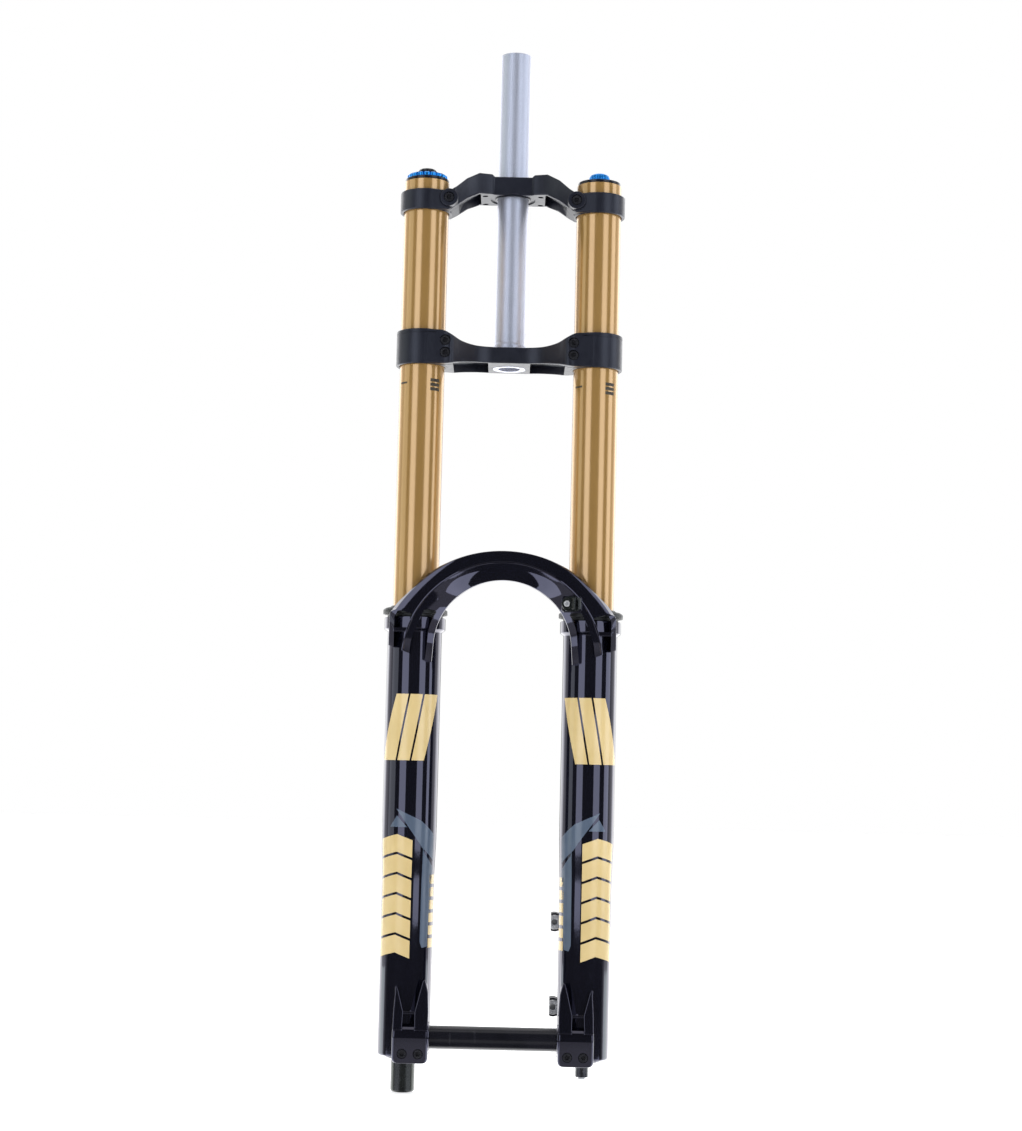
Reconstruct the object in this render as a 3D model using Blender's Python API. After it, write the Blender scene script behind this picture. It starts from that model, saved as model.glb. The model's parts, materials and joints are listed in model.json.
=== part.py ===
"""Dual-crown suspension fork with 203 mm of travel, as separate pieces.

The row frame: the origin is on the steerer's axis inside the lower crown, 5 mm below
the crown race seat, +Z runs up the steerer, -Y is forward and +X is the rider's left,
the brake side.
All shapes are worked out in millimetres and become metres in add_piece.
"""
import math

import bmesh
import bpy
from mathutils import Matrix, Vector

MM = 0.001
GAP = 0.3                     # clearance between two pieces that touch

# Layout
LEG_X = 78.0                  # half the distance between the stanchions
LEG_Y = -36.0                 # the stanchions stand ahead of the steerer
AXLE_Y = -54.0
AXLE_Z = -607.0
HUB_HALF = 55.0               # half of the 110 mm hub space
SIDES = {"damper": -1, "air": 1}

# Steerer
STEERER_R = 14.3
STEERER_SEAT_R = 15.0
STEERER_INNER_R = 12.0
STEERER_BUTT_R = 10.0         # bore of the thicker wall at its foot
STEERER_TOP = 284.0
STEERER_BOTTOM = -10.2

# Stanchions
TUBE_R = 20.0
TUBE_INNER_R = 17.5
TUBE_TOP = 152.5
TUBE_BOTTOM = -384.0

# Crowns
CLAMP_R = 23.5
LOWER_CLAMP = (-17.0, 14.6)
UPPER_CLAMP = (123.6, 142.2)
CLAMP_BOLT_X = 57.2
CLAMP_FRONT_Y = -59.5
LOWER_BOLT_Z = (4.4, -6.7)
UPPER_BOLT_Z = 134.4
PAD_END_X = 72.0              # where a clamp's flat front pad runs into its round wall
STEM_HOLE_X = 25.4
STEM_HOLE_Y = 14.3

# Lower legs
LEG_TOP = -243.0
LEG_R = 24.0
LEG_LOW_R = 22.8
LEG_BORE_R = 21.9
LEG_LOW_BORE_R = 20.7
LEG_FLOOR = -593.5
LEG_FOOT = -626.6
STUD_R = 3.2

# Arch: outer, ridge and inner circles as (height of the centre, radius)
ARCH_OUTER = (-298.8, 114.8)
ARCH_RIDGE = (-282.5, 88.0)
ARCH_INNER = (-270.0, 60.5)
ARCH_BACK_Y = -54.0
ARCH_PASS_Y = -61.0           # back of the arch where it passes in front of the crown
ARCH_EDGE_Y = -66.0
ARCH_RIDGE_Y = -70.0
ARCH_INNER_Y = (-59.5, -64.0)  # inner edge at the top and at the ends
ARCH_SPAN = 62.0              # degrees each way from the top
ARCH_END_Z = -237.5           # underside of the web between the ribs
RIB_WIDTH = 6.8
WIPER_R = 28.5

# Dropouts
BOSS_R = 12.5
BLOCK_OUT_X = 87.0
BLOCK_BOTTOM = -628.7
AXLE_R = 10.0
PINCH_X = (64.2, 78.0)
PINCH_Z = -620.4
POST_X = 52.0
POST_FLAT_X = 48.8            # the posts are cut flat here, clear of the disc
POST_Z = (-508.0, -582.0)

# Damper and air spring
CARTRIDGE_R = 13.0
CARTRIDGE_INNER_R = 11.8
PISTON_REST = -362.0
CAP_PLUG_Z = 132.0

MATERIALS = {
    "satin_black": ((0.035, 0.037, 0.05, 1), 0.45, 0.3),
    "gloss_black": ((0.012, 0.012, 0.018, 1), 0.12, 0.0),
    "gold_anodised": ((0.45, 0.30, 0.12, 1), 0.22, 1.0),
    "steerer_alloy": ((0.60, 0.64, 0.72, 1), 0.45, 0.9),
    "bare_alloy": ((0.75, 0.76, 0.78, 1), 0.3, 1.0),
    "blue_anodised": ((0.03, 0.25, 0.75, 1), 0.25, 0.9),
    "black_anodised": ((0.02, 0.02, 0.024, 1), 0.35, 0.6),
    "bolt_steel": ((0.06, 0.06, 0.07, 1), 0.35, 0.9),
    "bright_steel": ((0.7, 0.7, 0.72, 1), 0.25, 1.0),
    "seal_rubber": ((0.02, 0.02, 0.022, 1), 0.6, 0.0),
    "foam": ((0.25, 0.22, 0.18, 1), 0.95, 0.0),
    "bushing_bronze": ((0.30, 0.28, 0.22, 1), 0.4, 0.6),
    "bumper_elastomer": ((0.55, 0.30, 0.05, 1), 0.6, 0.0),
    "black_plastic": ((0.025, 0.025, 0.027, 1), 0.4, 0.0),
}


# ---------------------------------------------------------------- shape tools

def turned(profile, centre=(0.0, 0.0, 0.0), axis="Z", segments=32):
    """Solid of revolution of a closed outline of (radius, height) points."""
    mesh = bmesh.new()
    verts = [mesh.verts.new((radius, 0.0, height)) for radius, height in profile]
    edges = []
    for first, second in zip(verts, verts[1:] + verts[:1]):
        if first.co.x > 0 or second.co.x > 0:
            edges.append(mesh.edges.new((first, second)))
    bmesh.ops.spin(mesh, geom=verts + edges, cent=(0, 0, 0), axis=(0, 0, 1),
                   angle=2 * math.pi, steps=segments, use_merge=True)
    bmesh.ops.remove_doubles(mesh, verts=mesh.verts, dist=0.001)
    bmesh.ops.recalc_face_normals(mesh, faces=mesh.faces)
    turns = {"Z": Matrix(), "X": Matrix.Rotation(math.pi / 2, 4, "Y"),
             "Y": Matrix.Rotation(-math.pi / 2, 4, "X")}
    mesh.transform(Matrix.Translation(centre) @ turns[axis])
    return mesh


def cylinder(radius, low, high, centre=(0.0, 0.0, 0.0), axis="Z", segments=32):
    profile = [(0, low), (radius, low), (radius, high), (0, high)]
    return turned(profile, centre, axis, segments)


def ring(inner, outer, low, high, centre=(0.0, 0.0, 0.0), axis="Z", segments=32):
    profile = [(inner, low), (outer, low), (outer, high), (inner, high)]
    return turned(profile, centre, axis, segments)


def loft(loops):
    """Closed skin through loops of equal length, with flat ends."""
    mesh = bmesh.new()
    rows = [[mesh.verts.new(point) for point in loop] for loop in loops]
    for row, following in zip(rows, rows[1:]):
        for index in range(len(row)):
            after = (index + 1) % len(row)
            mesh.faces.new((row[index], row[after], following[after], following[index]))
    mesh.faces.new(rows[0])
    mesh.faces.new(rows[-1])
    bmesh.ops.recalc_face_normals(mesh, faces=mesh.faces)
    return mesh


def prism(outline, axis, low, high):
    """Outline in the plane across an axis, extruded from low to high along it."""
    places = {"X": lambda a, b, h: (h, a, b), "Y": lambda a, b, h: (a, h, b),
              "Z": lambda a, b, h: (a, b, h)}
    place = places[axis]
    return loft([[place(a, b, height) for a, b in outline] for height in (low, high)])


def box(low, high):
    outline = [(low[0], low[1]), (high[0], low[1]), (high[0], high[1]), (low[0], high[1])]
    return prism(outline, "Z", low[2], high[2])


def arc(centre, radius, start, end, steps):
    """Points on a circle, with angles in degrees from the second axis."""
    points = []
    for index in range(steps + 1):
        angle = math.radians(start + (end - start) * index / steps)
        points.append((centre[0] + radius * math.sin(angle), centre[1] + radius * math.cos(angle)))
    return points


def rounded_rectangle(low, high, radius, steps=4):
    """Outline with round corners between two opposite corner points."""
    corners = [((high[0] - radius, high[1] - radius), 0), ((high[0] - radius, low[1] + radius), 90),
               ((low[0] + radius, low[1] + radius), 180), ((low[0] + radius, high[1] - radius), 270)]
    return [point for centre, start in corners
            for point in arc(centre, radius, start, start + 90, steps)]


def as_object(mesh):
    data = bpy.data.meshes.new("work")
    mesh.to_mesh(data)
    mesh.free()
    data.materials.clear()
    work = bpy.data.objects.new("work", data)
    bpy.context.scene.collection.objects.link(work)
    return work


def combine(base, tools, operation):
    """Apply one Boolean operation with all the tools at once, and return the result."""
    target = as_object(base)
    helpers = bpy.data.collections.new("helpers")
    for tool in tools:
        helper = as_object(tool)
        bpy.context.scene.collection.objects.unlink(helper)
        helpers.objects.link(helper)
    bpy.context.scene.collection.children.link(helpers)
    modifier = target.modifiers.new("combine", "BOOLEAN")
    modifier.operation = operation
    modifier.operand_type = "COLLECTION"
    modifier.collection = helpers
    modifier.solver = "EXACT"
    graph = bpy.context.evaluated_depsgraph_get()
    result = bmesh.new()
    result.from_mesh(target.evaluated_get(graph).to_mesh())
    for work in [target] + list(helpers.objects):
        bpy.data.objects.remove(work)
    bpy.data.collections.remove(helpers)
    bmesh.ops.remove_doubles(result, verts=result.verts, dist=0.002)
    bmesh.ops.dissolve_limit(result, angle_limit=math.radians(0.2), verts=result.verts,
                             edges=result.edges)
    return result


def mirrored(mesh):
    """Copy of a shape on the other side of the X = 0 plane."""
    copy = mesh.copy()
    copy.transform(Matrix.Diagonal((-1, 1, 1, 1)))
    bmesh.ops.reverse_faces(copy, faces=copy.faces)
    return copy


def make_material(name):
    colour, roughness, metallic = MATERIALS[name]
    material = bpy.data.materials.new(name)
    material.use_nodes = True
    shader = material.node_tree.nodes["Principled BSDF"]
    shader.inputs["Base Color"].default_value = colour
    shader.inputs["Roughness"].default_value = roughness
    shader.inputs["Metallic"].default_value = metallic
    return material


def joint_axis(name, place):
    """Empty on a joint's axis, which its moving pieces hang on."""
    empty = bpy.data.objects.new(name, None)
    empty.location = Vector(place) * MM
    empty.empty_display_size = 0.01
    bpy.context.scene.collection.objects.link(empty)
    return empty


def add_piece(name, mesh, material, holder=None):
    """Turn a shape in millimetres into a named object in metres."""
    mesh.transform(Matrix.Scale(MM, 4))
    if holder:
        mesh.transform(Matrix.Translation(-holder.location))
    bmesh.ops.recalc_face_normals(mesh, faces=mesh.faces)
    data = bpy.data.meshes.new(name)
    mesh.to_mesh(data)
    mesh.free()
    data.shade_smooth()
    data.set_sharp_from_angle(angle=math.radians(32))
    data.materials.append(make_material(material))
    piece = bpy.data.objects.new(name, data)
    piece.parent = holder
    bpy.context.scene.collection.objects.link(piece)
    return piece


def bolt(head_r, shank_r, head_height, length, place, axis="Y", direction=1):
    """Socket-head bolt whose head's top is at place and whose shank runs along the axis."""
    socket_r = head_r * 0.55
    profile = [(0, head_height * 0.6), (socket_r, head_height * 0.6), (socket_r, 0), (head_r, 0),
               (head_r, head_height), (shank_r, head_height), (shank_r, length), (0, length)]
    flipped = [(radius, height * direction) for radius, height in profile]
    return turned(flipped, place, axis, 8)


def bolt_hole(head_r, shank_r, head_height, length, place, axis="Y", direction=1, run_out=6.0):
    """Counterbored hole for a bolt, with the usual gap all round."""
    profile = [(0, -run_out), (head_r + GAP + 0.2, -run_out), (head_r + GAP + 0.2, head_height + GAP),
               (shank_r + GAP, head_height + GAP), (shank_r + GAP, length + GAP), (0, length + GAP)]
    flipped = [(radius, height * direction) for radius, height in profile]
    return turned(flipped, place, axis, 8)


# ---------------------------------------------------------------- steerer and crowns

def add_steerer():
    profile = [(STEERER_BUTT_R, STEERER_BOTTOM), (STEERER_SEAT_R, STEERER_BOTTOM),
               (STEERER_SEAT_R, 11), (STEERER_R, 13), (STEERER_R, STEERER_TOP),
               (STEERER_INNER_R, STEERER_TOP), (STEERER_INNER_R, 30), (STEERER_BUTT_R, 24)]
    add_piece("steerer_tube", turned(profile, segments=32), "steerer_alloy")


def bar_section(x, front, back, bottom, top, chamfer):
    """Chamfered rectangle across the crown at one distance from the middle."""
    return [(x, front, bottom + chamfer), (x, front + chamfer, bottom), (x, back - chamfer, bottom),
            (x, back, bottom + chamfer), (x, back, top - chamfer), (x, back - chamfer, top),
            (x, front + chamfer, top), (x, front, top - chamfer)]


def crown_bar(sections, chamfer):
    """Bridge of a crown from its half list of (x, front, back, bottom, top) sections."""
    left = [(-x, front, back, bottom, top)
            for x, front, back, bottom, top in reversed(sections) if x > 0]
    return loft([bar_section(*section, chamfer) for section in left + sections])


def clamp_solids(span):
    low, high = span
    profile = [(0, low), (CLAMP_R - 1, low), (CLAMP_R, low + 1), (CLAMP_R, high - 1),
               (CLAMP_R - 1, high), (0, high)]
    return [turned(profile, (side * LEG_X, LEG_Y, 0), segments=32) for side in SIDES.values()]


def clamp_cuts(span):
    """Stanchion bores and the slots that let the clamps close."""
    low, high = span
    cuts = []
    for side in SIDES.values():
        cuts.append(cylinder(TUBE_R + GAP, low - 5, high + 5, (side * LEG_X, LEG_Y, 0), segments=32))
        near, far = sorted((side * 49.0, side * 67.0))
        cuts.append(box((near, -52.6, low - 5), (far, -51.4, high + 5)))
    return cuts


def crown_bolt(side, height):
    return bolt(4.3, 2.5, 3.8, 12.6, (side * CLAMP_BOLT_X, CLAMP_FRONT_Y + 0.6, height))


def crown_bolt_hole(side, height):
    return bolt_hole(4.3, 2.5, 3.8, 12.6, (side * CLAMP_BOLT_X, CLAMP_FRONT_Y + 0.6, height))


def underside_hollow(sections, wall, depth):
    """Cutter that hollows an arm from below, along sections of (x, front, back, bottom)."""
    loops = []
    for x, front, back, bottom in sections:
        loops.append([(x, front + wall, bottom - wall), (x, back - wall, bottom - wall),
                      (x, back - wall, bottom + depth), (x, front + wall, bottom + depth)])
    return loft(loops)


def add_lower_crown():
    sections = [(0, -30, 22, -9.8, 5), (16, -30, 22, -9.8, 5), (28, -34, 18, -10.2, 5),
                (36, -41, 11, -11.6, 5.3), (44, -50, 2, -13.6, 6.4), (51, CLAMP_FRONT_Y, -8, -16, 8.6),
                (59, CLAMP_FRONT_Y, -14, -16.6, 13.4), (PAD_END_X, CLAMP_FRONT_Y, -20, -16.6, 14.0)]
    crown = combine(crown_bar(sections, 1.5), clamp_solids(LOWER_CLAMP), "UNION")
    cuts = clamp_cuts(LOWER_CLAMP)
    cuts.append(cylinder(STEERER_SEAT_R + GAP, -30, 30))
    hollow = underside_hollow([(20, -31.3, 20.7, -9.9), (28, -34, 18, -10.2), (36, -41, 11, -11.6),
                               (44, -50, 2, -13.6), (49, -55, -5, -15.3)], 3.0, 8.0)
    cuts += [mirrored(hollow), hollow]
    cuts += [crown_bolt_hole(side, height) for side in SIDES.values() for height in LOWER_BOLT_Z]
    add_piece("lower_crown", combine(crown, cuts, "DIFFERENCE"), "satin_black")
    for name, side in SIDES.items():
        for index, height in enumerate(LOWER_BOLT_Z, 1):
            add_piece(f"lower_crown_bolt_{name}_{index}", crown_bolt(side, height), "bolt_steel")


def add_upper_crown():
    sections = [(0, -20, 20, 148, 165), (17, -20, 20, 148, 165), (19.5, -22.5, 20.5, 148, 166.6),
                (31, -26, 18, 147.5, 166.6), (42, -38, 2, 139, 158), (51, -50, -12, 129, 147),
                (57, -56, -18, 124.1, 141.7), (PAD_END_X, -58, -22, 124.1, 141.7)]
    boss = cylinder(8.0, CLAMP_FRONT_Y, -44, (CLAMP_BOLT_X, 0, UPPER_BOLT_Z), "Y", 16)
    lug = box((-10, 16, 149), (10, 30, 164))
    additions = clamp_solids(UPPER_CLAMP) + [mirrored(boss), boss, lug]
    crown = combine(crown_bar(sections, 1.5), additions, "UNION")
    cuts = clamp_cuts(UPPER_CLAMP)
    cuts.append(cylinder(STEERER_R + GAP, 130, 180))
    cuts.append(box((-0.6, 10, 140), (0.6, 35, 175)))
    for x in (-STEM_HOLE_X, STEM_HOLE_X):
        for y in (-STEM_HOLE_Y, STEM_HOLE_Y):
            cuts.append(cylinder(2.6, 140, 175, (x, y, 0), segments=8))
    hollow = underside_hollow([(31, -26, 18, 147.5), (42, -38, 2, 139), (48, -45.5, -6.5, 132.5)],
                              4.0, 8.0)
    cuts += [mirrored(hollow), hollow]
    cuts += [crown_bolt_hole(side, UPPER_BOLT_Z) for side in SIDES.values()]
    cuts.append(bolt_hole(3.6, 2.2, 3.5, 15.0, (-9.4, 25.0, 156.5), "X"))
    add_piece("upper_crown", combine(crown, cuts, "DIFFERENCE"), "satin_black")
    for name, side in SIDES.items():
        add_piece(f"upper_crown_bolt_{name}", crown_bolt(side, UPPER_BOLT_Z), "bolt_steel")
    steerer_bolt = bolt(3.6, 2.2, 3.5, 15.0, (-9.4, 25.0, 156.5), "X")
    add_piece("steerer_clamp_bolt", steerer_bolt, "bolt_steel")


def add_stanchions():
    for name, side in SIDES.items():
        tube = ring(TUBE_INNER_R, TUBE_R, TUBE_BOTTOM, TUBE_TOP, (side * LEG_X, LEG_Y, 0))
        add_piece(f"{name}_stanchion", tube, "gold_anodised")


# ---------------------------------------------------------------- lower casting

def leg_solid(side):
    profile = [(0, LEG_TOP), (27, LEG_TOP), (27, -253.5), (LEG_R, -254.5), (LEG_R, -428),
               (LEG_LOW_R, -480), (LEG_LOW_R, -623.3), (LEG_LOW_R - 1, -624.3), (16, -624.3),
               (16, LEG_FOOT), (0, LEG_FOOT)]
    return turned(profile, (side * LEG_X, LEG_Y, 0), segments=32)


def leg_bore(side):
    """Seat of the wiper, the running bore and the foot hole, as one cutter."""
    profile = [(0, LEG_TOP + 5), (23.3, LEG_TOP + 5), (23.3, -250.3), (LEG_BORE_R, -250.3),
               (LEG_BORE_R, -426), (LEG_LOW_BORE_R, -478), (LEG_LOW_BORE_R, LEG_FLOOR),
               (STUD_R + GAP, LEG_FLOOR), (STUD_R + GAP, LEG_FOOT - 5), (0, LEG_FOOT - 5)]
    return turned(profile, (side * LEG_X, LEG_Y, 0), segments=32)


def eased(value, start, end):
    """Share from 0 at the start to 1 at the end, with a smooth run between."""
    share = min(max((value - start) / (end - start), 0.0), 1.0)
    return share * share * (3 - 2 * share)


def arch_band():
    """Crescent with a forward ridge, from one end of the arch to the other."""
    loops = []
    steps = 20
    for index in range(steps + 1):
        turn = -ARCH_SPAN + 2 * ARCH_SPAN * index / steps
        angle = math.radians(turn)
        inner_y = ARCH_INNER_Y[0] + (ARCH_INNER_Y[1] - ARCH_INNER_Y[0]) * eased(abs(turn), 30, 55)
        loop = []
        for (centre, radius), y in ((ARCH_OUTER, ARCH_EDGE_Y), (ARCH_RIDGE, ARCH_RIDGE_Y),
                                    (ARCH_INNER, inner_y), (ARCH_INNER, ARCH_BACK_Y),
                                    (ARCH_OUTER, ARCH_BACK_Y)):
            x = radius * math.sin(angle)
            loop.append((x, y, centre + radius * math.cos(angle)))
        loops.append(loop)
    return loft(loops)


def rib(inner, outer, fronts, back):
    """Rib that follows two outlines of (x, z) points, with a front that changes along it."""
    loops = []
    for (inner_x, inner_z), (outer_x, outer_z), front in zip(inner, outer, fronts):
        loops.append([(inner_x, front, inner_z), (outer_x, front, outer_z),
                      (outer_x, back, outer_z), (inner_x, back, inner_z)])
    return loft(loops)


def arch_ribs():
    """Three ribs that carry one end of the arch down onto its leg."""
    start = 48.0
    centre, radius = ARCH_INNER
    inner_rib = rib(arc((0, centre), radius, start, 90, 6) + [(61.5, -280)],
                    arc((0, centre), radius + RIB_WIDTH, start, 90, 6) + [(67.5, -281.5)],
                    [-66, -66, -66, -65.5, -65, -64, -63, -61], -48)
    centre, radius = ARCH_RIDGE
    ridge_rib = rib(arc((0, centre), radius - RIB_WIDTH, start, 83, 6),
                    arc((0, centre), radius, start, 83, 6),
                    [-69.5, -69.5, -69.2, -68.8, -68, -67, -65.5], -48)
    centre, radius = ARCH_OUTER
    outer_rib = rib(arc((0, centre), radius - RIB_WIDTH, start, 57.5, 2) + [(93, -250), (97, -266.5)],
                    arc((0, centre), radius, start, 57.5, 2) + [(99.4, -250), (100.4, -267.5)],
                    [-66, -66, -65.6, -63, -57], -42)
    crossbar = box((84, -64, -256), (94, -46, -252.5))
    return [inner_rib, ridge_rib, outer_rib, crossbar]


def crown_relief():
    """Cutter behind the +X half of the arch, for the crown that it passes at full travel."""
    outline = [(37, -43), (44, -52), (50, ARCH_PASS_Y), (115, ARCH_PASS_Y), (115, -30), (37, -30)]
    return prism(outline, "Z", -221.6, -150)


def arch_solid():
    """Arch with its ribs, hollowed behind so that it passes the wipers and the crown."""
    ribs = arch_ribs()
    pad = prism(rounded_rectangle((51, -237), (69, -222.5), 3), "Y", ARCH_RIDGE_Y, -62)
    below = box((-115, -90, -300), (115, -40, ARCH_END_Z))
    band = combine(arch_band(), [below], "DIFFERENCE")
    arch = combine(band, ribs + [mirrored(shape) for shape in ribs] + [pad], "UNION")
    relief = [cylinder(WIPER_R + 0.9, LEG_TOP - GAP, -150, (side * LEG_X, LEG_Y, 0), segments=32)
              for side in SIDES.values()]
    relief += [mirrored(crown_relief()), crown_relief()]
    return combine(arch, relief, "DIFFERENCE")


def dropout_solid():
    """Dropout of the +X leg: a block round the axle with two gussets above it."""
    side_view = arc((AXLE_Y, AXLE_Z), BOSS_R, -90, 45, 9)
    side_view += [(-36, -600), (-36, -622), (-47.5, -624), (-47.5, BLOCK_BOTTOM),
                  (AXLE_Y - BOSS_R, BLOCK_BOTTOM)]
    front_view = rounded_rectangle((HUB_HALF, BLOCK_BOTTOM), (BLOCK_OUT_X, -590), 4.5)
    block = combine(prism(side_view, "X", HUB_HALF - 5, BLOCK_OUT_X + 5),
                    [prism(front_view, "Y", -80, -30)], "INTERSECT")
    gusset = [(-50, -556), (-57, -556), (-64.5, -591), (-64.5, -602), (-50, -602)]
    return [block, prism(gusset, "X", HUB_HALF + 1, HUB_HALF + 7.5),
            prism(gusset, "X", BLOCK_OUT_X - 7, BLOCK_OUT_X - 0.5)]


def dropout_cuts():
    """Axle bore, the slot below it and the pinch-bolt holes of the +X dropout."""
    cuts = [cylinder(AXLE_R + GAP, HUB_HALF - 5, BLOCK_OUT_X + 0.3, (0, AXLE_Y, AXLE_Z), "X", 24),
            box((HUB_HALF - 5, AXLE_Y - 0.75, BLOCK_BOTTOM - 5), (BLOCK_OUT_X + 0.3, AXLE_Y + 0.75, AXLE_Z))]
    cuts += [bolt_hole(3.8, 2.0, 3.6, 17.0, (x, AXLE_Y - BOSS_R + 0.8, PINCH_Z)) for x in PINCH_X]
    return cuts


def post_mounts():
    """Two brake posts on the inner rear side of the +X leg."""
    shapes = []
    for height in POST_Z:
        shapes.append(cylinder(8.2, -24, -4, (POST_X, 0, height), "Y", 16))
        shapes.append(box((POST_X, -23, height - 6), (64, -7, height + 6)))
    return shapes


def post_flat(height):
    return box((POST_FLAT_X - 15, -30, height - 12), (POST_FLAT_X, 0, height + 12))


def bleed_boss(side):
    return cylinder(6.0, -20, -9.5, (side * LEG_X, 0, -268), "Y", 16)


def add_lower_casting(holder):
    dropout = dropout_solid()
    additions = [leg_solid(1), arch_solid()] + dropout + [mirrored(shape) for shape in dropout]
    additions += post_mounts() + [bleed_boss(side) for side in SIDES.values()]
    casting = combine(leg_solid(-1), additions, "UNION")
    cuts = [leg_bore(side) for side in SIDES.values()]
    for cut in dropout_cuts():
        cuts += [mirrored(cut), cut]
    cuts += [cylinder(6.8, -30, 0, (POST_X, 0, height), "Y", 16) for height in POST_Z]
    cuts += [post_flat(height) for height in POST_Z]
    cuts += [cylinder(3.3, -13.2, 0, (side * LEG_X, 0, -268), "Y", 16) for side in SIDES.values()]
    cuts.append(cylinder(1.8, -80, -63, (55.5, 0, -229.8), "Y", 12))
    add_piece("lower_casting", combine(casting, cuts, "DIFFERENCE"), "gloss_black", holder)


def add_leg_fittings(holder):
    """Wipers, foam rings, bushings, pinch bolts and brake inserts on the lower legs."""
    wiper = [(20.3, -249.7), (23.0, -249.7), (23.0, -242.7), (24.5, -242.7), (24.5, -240),
             (WIPER_R, -240), (WIPER_R, -236), (26.5, -234), (20.3, -232.5)]
    for name, side in SIDES.items():
        centre = (side * LEG_X, LEG_Y, 0)
        add_piece(f"{name}_dust_wiper", turned(wiper, centre, segments=24), "seal_rubber", holder)
        add_piece(f"{name}_foam_ring", ring(20.4, 21.6, -262, -250.6, centre, segments=20),
                  "foam", holder)
        add_piece(f"{name}_upper_bushing", ring(20.4, 21.6, -290, -262.4, centre, segments=20),
                  "bushing_bronze", holder)
        add_piece(f"{name}_lower_bushing", ring(20.4, 21.6, -376, -350, centre, segments=20),
                  "bushing_bronze", holder)
        for index, x in enumerate(PINCH_X, 1):
            place = (side * x, AXLE_Y - BOSS_R + 0.8, PINCH_Z)
            add_piece(f"{name}_axle_pinch_bolt_{index}", bolt(3.8, 2.0, 3.6, 17.0, place),
                      "bolt_steel", holder)
    profile = [(0, -15), (2.6, -15), (2.6, -24.5), (6.3, -24.5), (6.3, -3.5), (2.6, -3.5),
               (2.6, -13), (0, -13)]
    for name, height in zip(("upper", "lower"), POST_Z):
        insert = turned(profile, (POST_X, 0, height), "Y", 16)
        insert = combine(insert, [post_flat(height)], "DIFFERENCE")
        add_piece(f"{name}_brake_insert", insert, "bright_steel", holder)


def add_hose_guide(holder):
    plate = prism(rounded_rectangle((51.5, -236.4), (68.5, -223.2), 2.5), "Y", -73.0, -70.3)
    saddle = prism(rounded_rectangle((59.6, -234.8), (68.4, -225.0), 2.0), "Y", -80.2, -72.0)
    cuts = [cylinder(3.1, -250, -210, (64.0, -75.9, 0), segments=16),
            cylinder(1.8, -80, -60, (55.5, 0, -229.8), "Y", 12)]
    guide = combine(combine(plate, [saddle], "UNION"), cuts, "DIFFERENCE")
    add_piece("hose_guide", guide, "black_plastic", holder)
    guide_bolt = bolt(2.7, 1.5, 2.4, 9.5, (55.5, -75.7, -229.8))
    add_piece("hose_guide_bolt", guide_bolt, "bright_steel", holder)


def add_axle():
    holder = joint_axis("axle_axis", (0, AXLE_Y, AXLE_Z))
    end = BLOCK_OUT_X - 0.2
    axle = ring(7.5, AXLE_R, -end, end, (0, AXLE_Y, AXLE_Z), "X", 24)
    add_piece("axle", axle, "black_anodised", holder)


def add_bleed_buttons():
    for name, side in SIDES.items():
        holder = joint_axis(f"{name}_bleed_button_axis", (side * LEG_X, -11.8, -268))
        profile = [(0, -11.7), (3.0, -11.7), (3.0, -8.0), (2.4, -7.4), (0, -7.4)]
        button = turned(profile, (side * LEG_X, 0, -268), "Y", 16)
        add_piece(f"{name}_bleed_button", button, "black_anodised", holder)


# ---------------------------------------------------------------- damper side

def spring_coil(radius, wire_r, low, high, turns, centre):
    """Coil spring as one tube with flat ends."""
    loops = []
    steps = turns * 8
    for index in range(steps + 1):
        angle = 2 * math.pi * index / 8
        height = low + wire_r + (high - low - 2 * wire_r) * index / steps
        loop = []
        for corner in range(4):
            around = 2 * math.pi * corner / 4
            reach = radius + wire_r * math.cos(around)
            loop.append((centre[0] + reach * math.cos(angle), centre[1] + reach * math.sin(angle),
                         height + wire_r * math.sin(around)))
        loops.append(loop)
    return loft(loops)


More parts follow.
